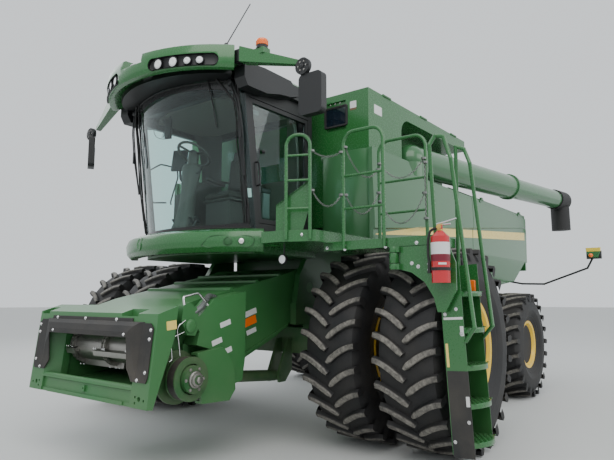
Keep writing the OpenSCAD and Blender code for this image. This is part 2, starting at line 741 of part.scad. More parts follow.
module cab_floor() placed() color("#26292a") {
    intersection() {
        block([cab_back_x, -cab_y, deck_z - 180], [cab_front_x + 2 * screen_bulge, cab_y,
            cab_floor_z - seat_gap]);
        translate([screen_x, 0, 0]) cylinder(h = 3000, r = screen_r + 4, $fn = 200);
    }
    both() block([cab_back_x, rail_y - rail_t, 2040 + seat_gap], [700, rail_y - 10, deck_z - 179]);
    block([-150, -cab_y, 2041], [cab_back_x + 1, cab_y, deck_z - 60]);
}

module fascia() placed() color("#3b8a48") {
    $fn = 200;
    arc_r = screen_r + 4 + seat_gap;
    translate([screen_x, 0, 0]) rotate([0, 0, -fascia_turn])
        rotate_extrude(angle = 2 * fascia_turn)
            polygon([[arc_r, cab_floor_z - 40], [arc_r, cab_floor_z - 2], [arc_r + 160, cab_floor_z - 12],
                [arc_r + 225, cab_floor_z - 40], [arc_r + 250, cab_floor_z - 110],
                [arc_r + 238, cab_floor_z - 200], [arc_r + 190, cab_floor_z - 250],
                [arc_r + 110, cab_floor_z - 250], [arc_r + 110, cab_floor_z - 80]]);
}

// Plan of the roof shell: straight sides and back, its front along the visor's curve
visor_x = nose_x - visor_r;
roof_back_x = cab_back_x - 60;
module roof_plan(inset, front, z0, z1) {
    intersection() {
        block([roof_back_x + inset, -roof_y + inset, z0], [nose_x, roof_y - inset, z1]);
        translate([visor_x, 0, z0]) cylinder(h = z1 - z0, r = visor_r - front);
    }
}

// Part of a ring round the visor's centre, from turn a0 to a1; the section is [outward of visor_r, above visor_z]
visor_z = cab_top_z - 5;
module visor_ring(a0, a1, section) translate([visor_x, 0, 0]) rotate([0, 0, a0])
    rotate_extrude(angle = a1 - a0) polygon([for (p = section) [visor_r + p[0], visor_z + p[1]]]);

// A lamp's place: turn is its angle round the visor
lamp_turns = [14.7, 21.6, 27.7, 32.8];
pod_turns = [12.5, 38];
lamp_z = visor_z + 80;
lamp_d = 45;
module on_visor(turn) translate([visor_x, 0, lamp_z]) rotate([0, 0, turn]) translate([visor_r, 0,
    0]) children();

shell_z = cab_top_z + 100;
module roof() placed() color("#3b8a48") {
    $fn = 200;
    difference() {
        visor_ring(-visor_turn, visor_turn, [[-300, 130], [-300, visor_h - 2], [-40, visor_h - 2],
            [-14, visor_h - 20],
            [0, visor_h - 85], [-4, 50], [-30, 8], [-75, 0], [-150, 35]]);
        // Low bridge between the two lamp pods
        visor_ring(-6.5, 6.5, [[-310, 135], [20, 135], [20, visor_h + 50], [-310, visor_h + 50]]);
        for (side = [-1, 1]) {
            // Lamp recess, round at both ends
            visor_ring(side > 0 ? pod_turns[0] : -pod_turns[1], side > 0 ? pod_turns[1] : -pod_turns[0],
                [for (p = [[-lamp_d, -60], [15, -60], [15, 60], [-lamp_d, 60]]) p + [0, lamp_z - visor_z]]);
            for (turn = pod_turns) on_visor(side * turn) translate([-lamp_d - 0.5, 0, 0]) rotate([0, 90, 0])
                cylinder(h = lamp_d + 20, r = 62, $fn = 32);
        }
    }
    // Shell over the cab
    intersection() {
        roof_plan(0, 100, shell_z, cab_top_z + 400);
        side_prism([[roof_back_x, shell_z - 5], [nose_x, shell_z - 5], [nose_x, shell_z + 20],
            [1880, shell_z + 50],
            [1500, shell_z + 140], [1100, shell_z + 180], [400, shell_z + 160], [roof_back_x, shell_z + 110]],
            -roof_y, roof_y);
        translate([roof_back_x, 0, 0]) rotate([90, 0, 90]) linear_extrude(nose_x)
            polygon([[-roof_y, shell_z], [roof_y, shell_z], [roof_y, shell_z + 50],
                [roof_y - 90, shell_z + 120],
                [roof_y - 320, shell_z + 190], [320 - roof_y, shell_z + 190], [90 - roof_y, shell_z + 120],
                [-roof_y, shell_z + 50]]);
    }
    // Arm to each mirror, with a short neck at the visor's end and a pad for the beacon on the left one
    both() {
        block([1545, 900, shell_z - 25], [1635, 1090, shell_z + 90]);
        hull() {
            block([1530, 1085, shell_z - 45], [1650, 1095, shell_z + 110]);
            block([arm_tip[0] - 60, arm_tip[1] - 15, arm_tip[2] - 22], [arm_tip[0], arm_tip[1],
                arm_tip[2] + 22]);
        }
    }
    block([beacon_at[0] - 50, beacon_at[1] - 60, beacon_at[2] - 60],
        [beacon_at[0] + 50, beacon_at[1] + 60, beacon_at[2]]);
}

module roof_liner() placed() color("#17191a") {
    $fn = 200;
    low = cab_top_z + 0.8;
    high = shell_z - seat_gap;
    difference() {
        roof_plan(30, 420, low, high);
        for (side = [-1, 1]) translate([1500, side * 910, low - 5]) rotate([0, 0, side * 45])
            translate([0, -200, 0]) block([0, 0, 0], [400, 400, 200]);
    }
    visor_ring(-visor_turn + 1, visor_turn - 1, [[-430, 5.8], [-175, 5.8], [-160, 40], [-259, 102.5],
        [-265, high - visor_z], [-430, high - visor_z]]);
    // Lobes over the doors, clear of the windscreen's edges
    side_low = cab_top_z - top_rail_h + 25;
    lobe_y = [cab_y + 17, 1050];
    both() {
        side_prism([[640, low], [800, 3690], [990, 3665], [1190, side_low], [1480, side_low], [1530, 3700],
            [1530, high], [640, high]], lobe_y[0], lobe_y[1]);
        side_prism([[640, low], [1530, low], [1530, 3850], [1230, 3878], [800, 3874]],
            roof_y + seat_gap, lobe_y[1]);
    }
}

module white_lamps() placed() color("#e8ecec") {
    for (side = [-1, 1], i = [0:3]) on_visor(side * lamp_turns[i]) translate([-lamp_d + seat_gap, 0, 0])
        rotate([0, 90, 0]) {
            r = lamp_r - (i > 1 ? 10 : 0);
            cylinder(h = 26, r = r);
            translate([0, 0, 26]) cylinder(h = 6, r1 = r, r2 = r - 8);
        }
    // Work lamp hanging under the deck
    translate([1180, 1300, deck_z - deck_t - 150]) {
        rotate([0, 90, 0]) cylinder(h = 60, r = 50);
        translate([20, 0, 0]) cylinder(h = 150 - seat_gap, r = 10);
    }
}

// Front face of a mirror arm's tip, and the foot of the beacon on the left arm
arm_tip = [1465, 1690, 3690];
beacon_at = [1540, 1290, 3900];
module amber_lamps() placed() color("#e07018") {
    translate(beacon_at + [0, 0, seat_gap]) {
        cylinder(h = 36, r = 60);
        translate([0, 0, 36]) cylinder(h = 46, r = 62);
        translate([0, 0, 82]) cylinder(h = 22, r1 = 62, r2 = 46);
    }
    // Turn signal on the fascia's right end
    translate([screen_x, 0, cab_floor_z - 205]) rotate([0, 0, -fascia_turn])
        block([screen_r + 110, -45, 0], [screen_r + 180, -seat_gap, 60]);
}

module antenna() placed() color("#202020") {
    foot = [1650, 905, visor_z + visor_h - 2 + seat_gap];
    translate(foot) cylinder(h = 30, r = 20);
    translate(foot + [0, 0, 30]) sphere(r = 24);
    bar(foot + [0, 0, 30], [1100, 700, 4760], 6);
}

// Mirror head with round corners, h high and w wide, its face towards the rear
module mirror_head(w, h) hull() for (y = [-1, 1], z = [-1, 1])
    translate([-40, y * (w / 2 - 50), z * (h / 2 - 50)]) rotate([0, 90, 0]) cylinder(h = 80, r = 50,
        $fn = 32);

module mirrors() placed() color("#1b1d1e") {
    both() {
        // Round joint in front of the arm's tip and the stem under it
        translate([arm_tip[0] + seat_gap, arm_tip[1] + 68, arm_tip[2] - 70]) rotate([0, 90,
            0]) cylinder(h = 42, r = 80);
        bar([arm_tip[0] + 22, arm_tip[1] + 80, arm_tip[2] - 100], [1450, 1810, 3460], 18);
    }
    translate([1450, 1835, 3350]) mirror_head(262, 390);
    translate([1450, -1800, 3400]) rotate([0, 0, -30]) mirror_head(240, 430);
}

module seat() placed() color("#3a3b38") {
    block([460, -260, cab_floor_z + 420 + seat_gap], [940, 260, cab_floor_z + 540]);
    translate([470, 0, cab_floor_z + 450]) rotate([0, -8, 0]) block([0, -240, 0], [120, 240, 740]);
}

module seat_base() placed() color("#4b4b47") {
    block([470, -200, cab_floor_z + seat_gap], [880, 200, cab_floor_z + 420]);
    // Console with its armrest on the driver's right
    block([420, -640, cab_floor_z + seat_gap], [1000, -330, cab_floor_z + 560]);
    block([560, -420, cab_floor_z + 559], [1080, -330, cab_floor_z + 700]);
    // Raised step behind the seat
    block([cab_back_x + pillar_w + seat_gap, -600, cab_floor_z + seat_gap], [440, 600, cab_floor_z + 360]);
}

module steering_column() placed() color("#2b2c2b") {
    foot_x = hand_wheel[0] + 120;
    block([foot_x - 70, -90, cab_floor_z + seat_gap], [foot_x + 70, 90, cab_floor_z + 60]);
    bar([foot_x, 0, cab_floor_z + 55], [hand_wheel[0], 0, hand_wheel[1]], 60);
    translate([hand_wheel[0], 0, hand_wheel[1]]) rotate([0, -32, 0]) {
        rotate_extrude() translate([190, 0]) circle(r = 15);
        translate([0, 0, -24]) cylinder(h = 36, r = 46);
        for (a = [90, 210, 330]) rotate([0, 0, a]) block([30, -14, -6], [188, 14, 6]);
    }
}

// Platform, ladder and rails

module platform() placed() color("#2f7a3b") {
    plan_prism([[deck_back_x, cab_y + 20], [1085, cab_y + 20], [1085, 1165], [deck_corner[0], 1165],
        deck_corner, [deck_side_x, deck_y], [deck_back_x, deck_y]], deck_z - deck_t, deck_z);
    block([landing_back_x, deck_y - 120, landing_z - deck_t], [landing_front_x, landing_y, landing_z - 25]);
    block([deck_back_x, cab_y + seat_gap, deck_z - 170], [1085, cab_y + 30, deck_z - deck_t + 1]);
    difference() {
        union() {
            block([landing_front_x - 60, ladder_pin[1] - 40, ladder_hub_z[0]],
                [landing_front_x - 5, ladder_pin[1] + 40, landing_z - deck_t + 1]);
            block([landing_front_x - 60, ladder_pin[1] - 40, ladder_hub_z[0]],
                [ladder_pin[0], ladder_pin[1] + 40, ladder_hub_z[1]]);
            translate([ladder_pin[0], ladder_pin[1], ladder_hub_z[0]])
                cylinder(h = ladder_hub_z[1] - ladder_hub_z[0], r = 40);
        }
        translate([ladder_pin[0], ladder_pin[1], 1400]) cylinder(h = 800, r = 22 + fit_gap);
    }
}

module handrails() placed() color("#347f40") {
    // Grab hoop beside the door, on the deck's slanted corner
    along = atan2(deck_y - deck_corner[1], deck_side_x - deck_corner[0]);
    translate([deck_corner[0], deck_corner[1], deck_z - 90]) rotate([0, 0, along])
        translate([50, -tube_r - seat_gap, 0]) hoop(230, 1000, 105, tube_r, [290, 560, 800]);
    // Gates at the landing's front and rear edges
    translate([landing_front_x + tube_r + seat_gap, 1850, landing_z - 100]) rotate([0, 0, 90])
        hoop(440, 1130, 120, tube_r, [380, 700]);
    translate([landing_back_x - tube_r - seat_gap, 1960, landing_z - 100]) rotate([0, 0, 90])
        hoop(520, 1130, 120, tube_r, [380, 700]);
}

module extinguisher() placed() color("#b3202c") {
    x = ladder_arm_x + ladder_arm_t + 90;
    y = ladder_y + 5;
    translate([x, y, 1620]) cylinder(h = 380, r = 76);
    translate([x, y, 1999]) cylinder(h = 50, r1 = 76, r2 = 26);
    translate([x, y, 2048]) cylinder(h = 45, r = 24);
    block([ladder_arm_x + ladder_arm_t + seat_gap, y - 40, 1780], [x, y + 40, 1840]);
}

module lamp_arms() placed() color("#1b1d1e") {
    both() {
        tube_path([[-4850, panel_y - 205, 1800], [-4850, 1760, 1745], [-4850, 2130, 1735],
            [-4850, 2830, 1990],
            [-4850, 2920, 2160]], 16);
        block([-4890, 2830, 2140], [-4810, 3050, 2270]);
        block([-4900, thresh_y + seat_gap, 1780], [-4800, panel_y - 180, 1820]);
    }
}

// Works along the ladder, which leans out towards its foot
module on_ladder() translate([0, ladder_y, 200]) rotate([ladder_lean, 0, 0]) translate([0, 0,
    -200]) children();

module ladder() placed() color("#3b8a48") {
    front = ladder_front_x;
    back = front - step_l;
    plate_w = 185;
    nose = 90;
    nose_r = (pow(step_l / 2, 2) + pow(nose, 2)) / (2 * nose);
    on_ladder() {
        block([front - 6, 0, 900], [front, plate_w, ladder_top_z]);
        block([back, 0, 240], [back + 6, plate_w, ladder_top_z]);
        block([back, 0, 240], [front, 5, ladder_top_z]);
        for (i = [0:steps - 1]) translate([0, 0, step_first_z + i * step_rise]) intersection() {
            block([back + 5, 1, 0], [front - 7, 400, 40]);
            translate([(back + front) / 2, step_d + nose - nose_r, -1]) cylinder(h = 60, r = nose_r);
        }
    }
    // Swing arm: a plate in front of the landing, with a round cut over the tyre
    translate([ladder_arm_x, 0, 0]) rotate([90, 0, 90]) linear_extrude(ladder_arm_t)
        polygon([[ladder_pin[1] + 48, 1745], [2560, 1715], [2680, 1630], [2760, 1500], [2790, 1380],
            [2860, 1380], [2960, 1560], [2960, 1790], [2900, 1945], [ladder_pin[1] + 48, 1945]]);
    block([front - 5, 2800, 1400], [ladder_arm_x + 1, 2850, 1700]);
    for (z = [ladder_hub_z[0] - 55, ladder_hub_z[1] + 5]) {
        translate([ladder_pin[0], ladder_pin[1], z]) cylinder(h = 50, r = 40);
        block([ladder_arm_x, ladder_pin[1], z], [ladder_pin[0] + 20, ladder_pin[1] + 60, z + 50]);
    }
    translate([ladder_pin[0], ladder_pin[1], ladder_hub_z[0] - 55])
        cylinder(h = ladder_hub_z[1] - ladder_hub_z[0] + 110, r = 22);
    // Grab rails on both sides of the steps
    tube_path([[ladder_arm_x + 10, 2790, 1940], [ladder_arm_x + 10, 2750, 2820],
        [ladder_arm_x - 5, 2800, 2900],
        [ladder_arm_x - 10, 2870, 2880], [ladder_arm_x - 20, 2930, 2680], [ladder_front_x, 3080, 1260],
        [ladder_front_x - 2, 3000, 1140]], tube_r);
    tube_path([[back + 4, 2790, 1780], [back + 4, 2800, 2900], [back + 4, 2880, 2860], [back + 4, 2930, 2720],
        [back + 4, 3080, 1260], [back + 4, 2990, 1150]], tube_r);
}

module ladder_guard() placed() color("#16181a") on_ladder()
    block([ladder_front_x - 6, 5 + seat_gap, 220], [ladder_front_x, 185, 900 - seat_gap]);

// Wheels and steering

module front_tyres(hand) placed() color("#1e1f20")
    for (y = [front_inner_y, front_outer_y]) wheel_at(0, y, front_axle_z)
        tyre(front_tyre_r, front_tyre_w, front_rim_r, front_lugs, hand);

module front_rims() placed() color("#f0c419") {
    wheel_at(0, front_inner_y, front_axle_z) rim(front_rim_r, front_tyre_w, -150, spindle_r + fit_gap);
    wheel_at(0, front_outer_y, front_axle_z) rim(front_rim_r, front_tyre_w, -60, 80);
    difference() {
        wheel_at(0, drive_y + 210, front_axle_z) cylinder(h = front_outer_y - 50 - drive_y - 210, r = 215);
        wheel_at(0, drive_y + 200, front_axle_z)
            cylinder(h = spindle_end_y - drive_y - 195, r = spindle_r + fit_gap);
        wheel_at(0, spindle_end_y + 60, front_axle_z)
            cylinder(h = front_outer_y - 120 - spindle_end_y, r = 190);
    }
}

module front_tyres_left() front_tyres(1);
module front_tyres_right() mirror([0, 1, 0]) front_tyres(1);
module front_rims_left() front_rims();
module front_rims_right() mirror([0, 1, 0]) front_rims();

module rear_tyre() placed() color("#1e1f20") wheel_at(rear_x, rear_wheel_y, rear_axle_z)
    tyre(rear_tyre_r, rear_tyre_w, rear_rim_r, rear_lugs, 1);

module rear_rim() placed() color("#f0c419") {
    wheel_at(rear_x, rear_wheel_y, rear_axle_z) rim(rear_rim_r, rear_tyre_w, -120, rear_spindle_r + fit_gap);
    difference() {
        wheel_at(rear_x, rear_wheel_y - 190, rear_axle_z) cylinder(h = 180, r = 130);
        wheel_at(rear_x, rear_wheel_y - 195, rear_axle_z) cylinder(h = 150, r = rear_spindle_r + fit_gap);
    }
}

module rear_tyre_left() rear_tyre();
module rear_tyre_right() mirror([0, 1, 0]) rear_tyre();
module rear_rim_left() rear_rim();
module rear_rim_right() mirror([0, 1, 0]) rear_rim();

// Fork around the axle's end, kingpin, spindle and steering arm
module knuckle() placed() color("#1d4d26") {
    difference() {
        union() {
            for (z = [rear_axle_z - 60 - run_gap - 50, rear_axle_z + 170 + run_gap])
                translate([rear_x, kingpin_y, z]) cylinder(h = 50, r = 75);
            for (z = [rear_axle_z - 60 - run_gap - 50, rear_axle_z + 170 + run_gap])
                block([rear_x - 60, kingpin_y, z], [rear_x + 60, kingpin_y + 110, z + 50]);
            block([rear_x - 60, kingpin_y + 85, rear_axle_z - 120],
                [rear_x + 60, kingpin_y + 115, rear_axle_z + 230]);
            translate([rear_x, kingpin_y, rear_axle_z - 120]) cylinder(h = 350, r = kingpin_r);
            wheel_at(rear_x, kingpin_y + 110, rear_axle_z)
                cylinder(h = rear_wheel_y - 60 - kingpin_y - 110, r = rear_spindle_r);
            block([rear_x - steer_arm - 40, kingpin_y - 30, rear_axle_z - 120],
                [rear_x, kingpin_y + 30, rear_axle_z - 71]);
        }
        translate([rear_x - steer_arm, kingpin_y, rear_axle_z - 130]) cylinder(h = 80, r = 18);
    }
}
module knuckle_left() knuckle();
module knuckle_right() mirror([0, 1, 0]) knuckle();

module steering_rod() placed() color("#8b9094") {
    translate([rear_x - steer_arm, kingpin_y + 10, rear_axle_z]) rotate([90, 0, 0])
        cylinder(h = 2 * kingpin_y + 20, r = steer_rod_r);
    both() translate([rear_x - steer_arm, kingpin_y, rear_axle_z - 60]) cylinder(h = 90, r = 30);
}

// Feeder house

module feeder_house() placed() color("#2f7a3b") {
    z0 = house_front_z[0];
    z1 = house_front_z[1];
    difference() {
        union() {
            side_prism([[back_x(z0), z0], house_low[0], house_low[1], [60, 1410], [0, 1760], [120, 1842],
                [1730, 1490], [back_x(z1), z1]], -feeder_y, feeder_y);
            shaft(pivot_x, pivot_z, -feeder_y, feeder_y, pivot_hub_r);
            both() shaft(pivot_x, pivot_z, feeder_y - 1, rail_y - 12, feeder_pin_r);
        }
        side_prism([[back_x(z0) + 10, z0 + feeder_t], house_low[0] + [0, feeder_t],
            house_low[1] + [0, feeder_t],
            [250, 1300 + feeder_t], [250, 1810 - feeder_t], [1730, 1490 - feeder_t],
            [back_x(z1) + 10, z1 - feeder_t]], -feeder_y + feeder_t, feeder_y - feeder_t);
    }
    // Ribs and flanges on the sides and across the top
    both() {
        side_prism([[1180, 870], [1195, 870], [1300, 1590], [1285, 1590]], feeder_y - 1, feeder_y + 18);
        side_prism([[420, 1180], [1400, 800], [1400, 824], [420, 1204]], feeder_y - 1, feeder_y + 18);
    }
    for (x = [520, 900, 1280]) side_prism([[x, house_top(x) - 5], [x + 40, house_top(x + 40) - 5],
        [x + 40, house_top(x + 40) + 22], [x, house_top(x) + 22]], -feeder_y + 10, feeder_y - 10);
    // Ears for the eyes of the lift cylinders
    for (side = [-1, 1], ear = [-85, 60]) difference() {
        side_prism([[lift_eye[0] - 130, house_foot(lift_eye[0] - 130) + 5],
            [lift_eye[0] - 50, lift_eye[1] - 60],
            [lift_eye[0] + 50, lift_eye[1] - 60], [lift_eye[0] + 85, house_foot(lift_eye[0] + 85) + 5]],
            side * lift_y + ear, side * lift_y + ear + 25);
        shaft(lift_eye[0], lift_eye[1], side * lift_y + ear - 5, side * lift_y + ear + 30, 30);
    }
}

// Works in the leaning plane of the feeder frame: X out of its face, Z up its face
module on_face() translate([feeder_front_x, 0, feeder_front_z]) rotate([0, -feeder_tilt, 0]) children();

mouth_y = 640;
mouth_z = [150, 640];
frame_t = 30;
foot_y = mouth_y + 90;
foot_d = 60;
head_rise = 88;
latch_y = 840;
latch_z = 75;
latch_r = 20;

module feeder_frame() placed() color("#3b8a48") on_face() {
    h = feeder_frame_h;
    d = feeder_frame_d;
    difference() {
        union() {
            // Front plate, tunnel behind the mouth, and a head beam whose top slopes up to the back
            block([-frame_t, -feeder_frame_y, 0], [0, feeder_frame_y, h]);
            block([-d, -feeder_y - 30, 0], [-frame_t + 1, feeder_y + 30, h]);
            side_prism([[0, h], [-d, h + head_rise], [-d, h - 45], [-frame_t + 1, h - 45]],
                -feeder_frame_y, feeder_frame_y);
            both() side_prism([[0, 0], [0, h], [-d, h + head_rise], [-d, 595], [-foot_d - 40, 180], [-foot_d, 0]],
                feeder_frame_y - 25, feeder_frame_y);
            both() block([-foot_d, foot_y, 0], [0, feeder_frame_y, 150]);
        }
        // Mouth, flared at the front, with a sunk face under it
        block([-d - 5, -mouth_y, mouth_z[0]], [5, mouth_y, mouth_z[1]]);
        both() plan_prism([[-130, mouth_y - 1], [5, foot_y], [5, mouth_y - 1]], mouth_z[0], mouth_z[1]);
        block([-22, -foot_y + 6, 33], [5, foot_y - 6, mouth_z[0] - 15]);
        both() block([-12, mouth_y - 20, -5], [5, foot_y, 33]);
        // Latch holes, each in a group of small ones
        both() for (hole = [[0, 0, latch_r], [-52, 12, 11], [64, -8, 11], [-48, -36, 11]])
            translate([-foot_d - 5, latch_y + hole[0], latch_z + hole[1]]) rotate([0, 90, 0])
                cylinder(h = foot_d + 10, r = hole[2]);
        // Two hook pockets in the head beam
        for (y = [[-935, -800], [450, 690]]) block([-110, y[0], h - 24], [5, y[1], h + head_rise]);
    }
    // Rolled edge of the mouth, with a lug under its middle
    difference() {
        translate([-30, foot_y - 3, mouth_z[0] + 2]) rotate([90, 0, 0]) cylinder(h = 2 * foot_y - 6, r = 27);
        block([-60, -foot_y, 0], [-33, foot_y, mouth_z[0] + 40]);
    }
    difference() {
        block([-23, -20, 55], [-3, 20, 110]);
        translate([-30, 0, 82]) rotate([0, 90, 0]) cylinder(h = 40, r = 10);
    }
}

// Rubber hood round the mouth, drawn in by a wall's thickness for its hollow
hood_y = 800;
hood_z = 700;
hood_d = 60;
hood_t = 12;
module hood_form(inset) {
    y = hood_y - inset;
    z = hood_z - inset;
    d = hood_d - inset;
    intersection() {
        plan_prism([[-5, -y], [0, -y], [0.7 * d, 85 - y], [d, 160 - y], [d, y - 160], [0.7 * d, y - 85], [0, y], [-5, y]],
            205, 720);
        side_prism([[-5, 200], [-5, z], [0, z], [0.35 * d, z - 6], [0.75 * d, z - 40], [d, z - 95], [d, 545],
            [14 - inset, 280], [14 - inset, 200]], -feeder_frame_y, feeder_frame_y);
    }
}

module feeder_surround() placed() color("#222426") on_face() translate([seat_gap, 0, 0]) {
    y = feeder_frame_y - 30;
    difference() {
        union() {
            rotate([90, 0, 90]) linear_extrude(hood_t) polygon([[-y, 250], [20 - y, 205], [y - 20, 205], [y, 250],
                [y, 650], [y - 45, 690], [mouth_y, 690], [mouth_y - 10, 728], [-mouth_y - 50, 728], [-mouth_y - 60, 690],
                [45 - y, 690], [-y, 650]]);
            hood_form(0);
        }
        hood_form(hood_t);
        block([-10, -mouth_y, 190], [hood_d + 5, mouth_y, 560]);
        block([-10, -hood_y - 20, 0], [0, hood_y + 20, 800]);
        // The legs narrow at their feet
        both() rotate([90, 0, 90]) linear_extrude(hood_d) polygon([[mouth_y - 10, 190], [foot_y, 190],
            [mouth_y - 1, 305], [mouth_y - 10, 305]]);
    }
}

module feeder_conveyor() placed() color("#9b9ea0") {
    run = drum_rear - drum_front;
    run_l = norm(run);
    pitch = atan2(run[1], -run[0]);
    inner_y = feeder_y - feeder_t;
    strands = [-540, 0, 540];
    slats = [[[-620, -470], [-140, 620]], [[-600, 140], [470, 620]]];
    for (d = [drum_front, drum_rear]) {
        shaft(d[0], d[1], -inner_y, inner_y, 35);
        shaft(d[0], d[1], 30 - inner_y, inner_y - 30, drum_r);
    }
    // Three strands of chain, and slats whose halves step over by turns
    translate([drum_front[0], 0, drum_front[1]]) rotate([0, pitch, 0]) {
        for (y = strands, s = [-1, 1])
            translate([-run_l, y - 25, s * (drum_r + 20) - 14]) cube([run_l, 50, 28]);
        for (i = [0:7], s = [-1, 1], lane = slats[i % 2])
            translate([-run_l * (i + 0.4) / 8, lane[0], s * (drum_r + 38) - 14]) cube([50, lane[1] - lane[0], 28]);
        for (i = [0, 1], lane = slats[i]) rotate([0, pitch + 70 * i - 12, 0])
            translate([drum_r - 5, lane[0], -25]) cube([57, lane[1] - lane[0], 50]);
    }
    for (y = strands, d = [drum_front, drum_rear]) shaft(d[0], d[1], y - 20, y + 20, drum_r + 24);
}

module feeder_shield() placed() color("#347f40") {
    y0 = feeder_y + 18 + seat_gap;
    y1 = feeder_y + 200;
    skin = 25;
    outline = [[1305, 1560], [1730, 1480], [1960, 1290], [1900, 1190], [1930, 1075], [1700, 1010],
        [1640, 960],
        [1560, 660], [1340, 700], [1305, 900]];
    difference() {
        side_prism(outline, y0, y1);
        side_prism([[1330, 1530], [1715, 1452], [1925, 1280], [1868, 1190], [1895, 1095], [1690, 1040],
            [1615, 975],
            [1540, 690], [1362, 722], [1330, 905]], y0 + skin, y1 - skin);
    }
    // Scoop behind the pulley
    difference() {
        side_prism([[1960, 1010], [1640, 1040], [1500, 880], [1480, 640], [1560, 545], [1900, 560]],
            y1 - 40, y1 + 50);
        side_prism([[1990, 985], [1660, 1010], [1525, 870], [1506, 650], [1575, 570], [1990, 590]],
            y1 - 45, y1 + 22);
        shaft(pulley_at[0], pulley_at[1], y1 - 50, y1 + 60, pulley_r + 15);
    }
    // Bearing of the drive shaft, on the side of the feeder house
    difference() {
        union() {
            shaft(pulley_at[0], pulley_at[1], y0, y0 + 60, 90);
            block([1900, y0, pulley_at[1] - 60], [pulley_at[0], y0 + 30, pulley_at[1] + 60]);
            block([1620, y0, 860], [1960, y0 + 30, 900]);
            block([1900, y0, pulley_at[1] - 60], [1960, y0 + 30, 1080]);
        }
        shaft(pulley_at[0], pulley_at[1], y0 - 5, y0 + 65, 40 + fit_gap);
    }
}

// Shaft, hub and grooved pulley, with a round guard plate behind it
module header_drive() placed() color("#2b6b35") {
    y0 = feeder_y + 18 + seat_gap + 60;
    shaft(pulley_at[0], pulley_at[1], feeder_y + 22, 1080, 40);
    shaft(pulley_at[0], pulley_at[1], y0 + 6, y0 + 26, pulley_r + 45);
    shaft(pulley_at[0], pulley_at[1], y0 + 25, 1030, 120);
    difference() {
        union() {
            shaft(pulley_at[0], pulley_at[1], 870, 990, pulley_r - 22);
            for (y = [870, 975]) shaft(pulley_at[0], pulley_at[1], y, y + 15, pulley_r);
        }
        shaft(pulley_at[0], pulley_at[1], 945, 995, pulley_r - 60);
    }
}

module on_lift() translate([lift_foot[0], 0, lift_foot[1]]) rotate([0, 90 - lift_angle, 0]) children();

module lift_barrels() placed() color("#235c2c") {
    both() on_lift() translate([0, lift_y, 0]) {
        difference() {
            union() {
                translate([0, 0, 40]) cylinder(h = barrel_l - 40, r = lift_barrel_r);
                rotate([90, 0, 0]) translate([0, 0, -55]) cylinder(h = 110, r = 55);
            }
            translate([0, 0, 120]) cylinder(h = barrel_l, r = lift_rod_r + fit_gap);
        }
    }
    both() shaft(lift_foot[0], lift_foot[1], lift_y - 95, lift_y + 95, 30);
}

module lift_rods() placed() color("#b9bdc0") {
    both() on_lift() translate([0, lift_y, 0]) difference() {
        union() {
            translate([0, 0, 330]) cylinder(h = lift_length - 330 - 20, r = lift_rod_r);
            translate([0, 0, lift_length]) rotate([90, 0, 0]) translate([0, 0, -45]) cylinder(h = 90, r = 50);
        }
        translate([0, 0, lift_length]) rotate([90, 0, 0]) translate([0, 0, -50]) cylinder(h = 100, r = 30);
    }
}

// Unloading auger: a turret on the swing axis, an elbow and a long tube with a spout
module on_auger() translate([-auger_pivot_x, auger_pivot_y, auger_z])
    rotate([0, 0, 180 - auger_splay]) rotate([0, -auger_rise, 0]) children();

module auger_tube() placed() color("#347f40") {
    translate([-auger_pivot_x, auger_pivot_y, ledge_z[0] - tank_t + 3])
        cylinder(h = auger_z - ledge_z[0] + tank_t, r = auger_pin_r);
    translate([-auger_pivot_x, auger_pivot_y, ledge_z[0] + seat_gap])
        cylinder(h = auger_z - ledge_z[0], r = auger_r - 5);
    on_auger() rotate([0, 90, 0]) {
        sphere(r = auger_r + 4);
        cylinder(h = auger_first_l, r = auger_r);
        translate([0, 0, auger_first_l - 30]) cylinder(h = 60, r = auger_r + 22);
        translate([0, 0, auger_first_l]) cylinder(h = auger_l - auger_first_l, r = auger_r - 22);
    }
}

module auger_spout() placed() color("#151617") on_auger() {
    translate([auger_l - 160, 0, 0]) rotate([0, 90, 0]) difference() {
        cylinder(h = 500, r = auger_r);
        translate([0, 0, -1]) cylinder(h = 161 + seat_gap, r = auger_r - 22 + seat_gap);
    }
    translate([auger_l + 205, 0, -auger_r - 420]) cylinder(h = 480, r = auger_r - 20);
}

module tank_cover(hand) placed() color("#2b6b35") {
    side = hand > 0 ? [run_gap / 2, tank_y] : [-tank_y, -run_gap / 2];
    block([tank_back_x, side[0], tank_top_z + seat_gap], [tank_front_x, side[1], tank_top_z + cover_t]);
    // Hinge barrels along the outer edge
    for (share = [0.15, 0.5, 0.85])
        translate([tank_back_x + share * (tank_front_x - tank_back_x) - 90, hand * tank_y,
            tank_top_z + cover_t])
            rotate([0, 90, 0]) cylinder(h = 180, r = cover_hinge_r);
}
module tank_cover_left() tank_cover(1);
module tank_cover_right() tank_cover(-1);

module spreader(y) placed() color("#34383a") {
    translate([-5315, y, 1270]) cylinder(h = 14, r = 200);
    translate([-5315, y, 1283]) cylinder(h = 320, r = 40);
    for (a = [0:90:270]) translate([-5315, y, 1283]) rotate([0, 0, a]) translate([30, -5, 0]) cube([150, 10,
        50]);
}
module spreader_left() spreader(330);
module spreader_right() spreader(-330);

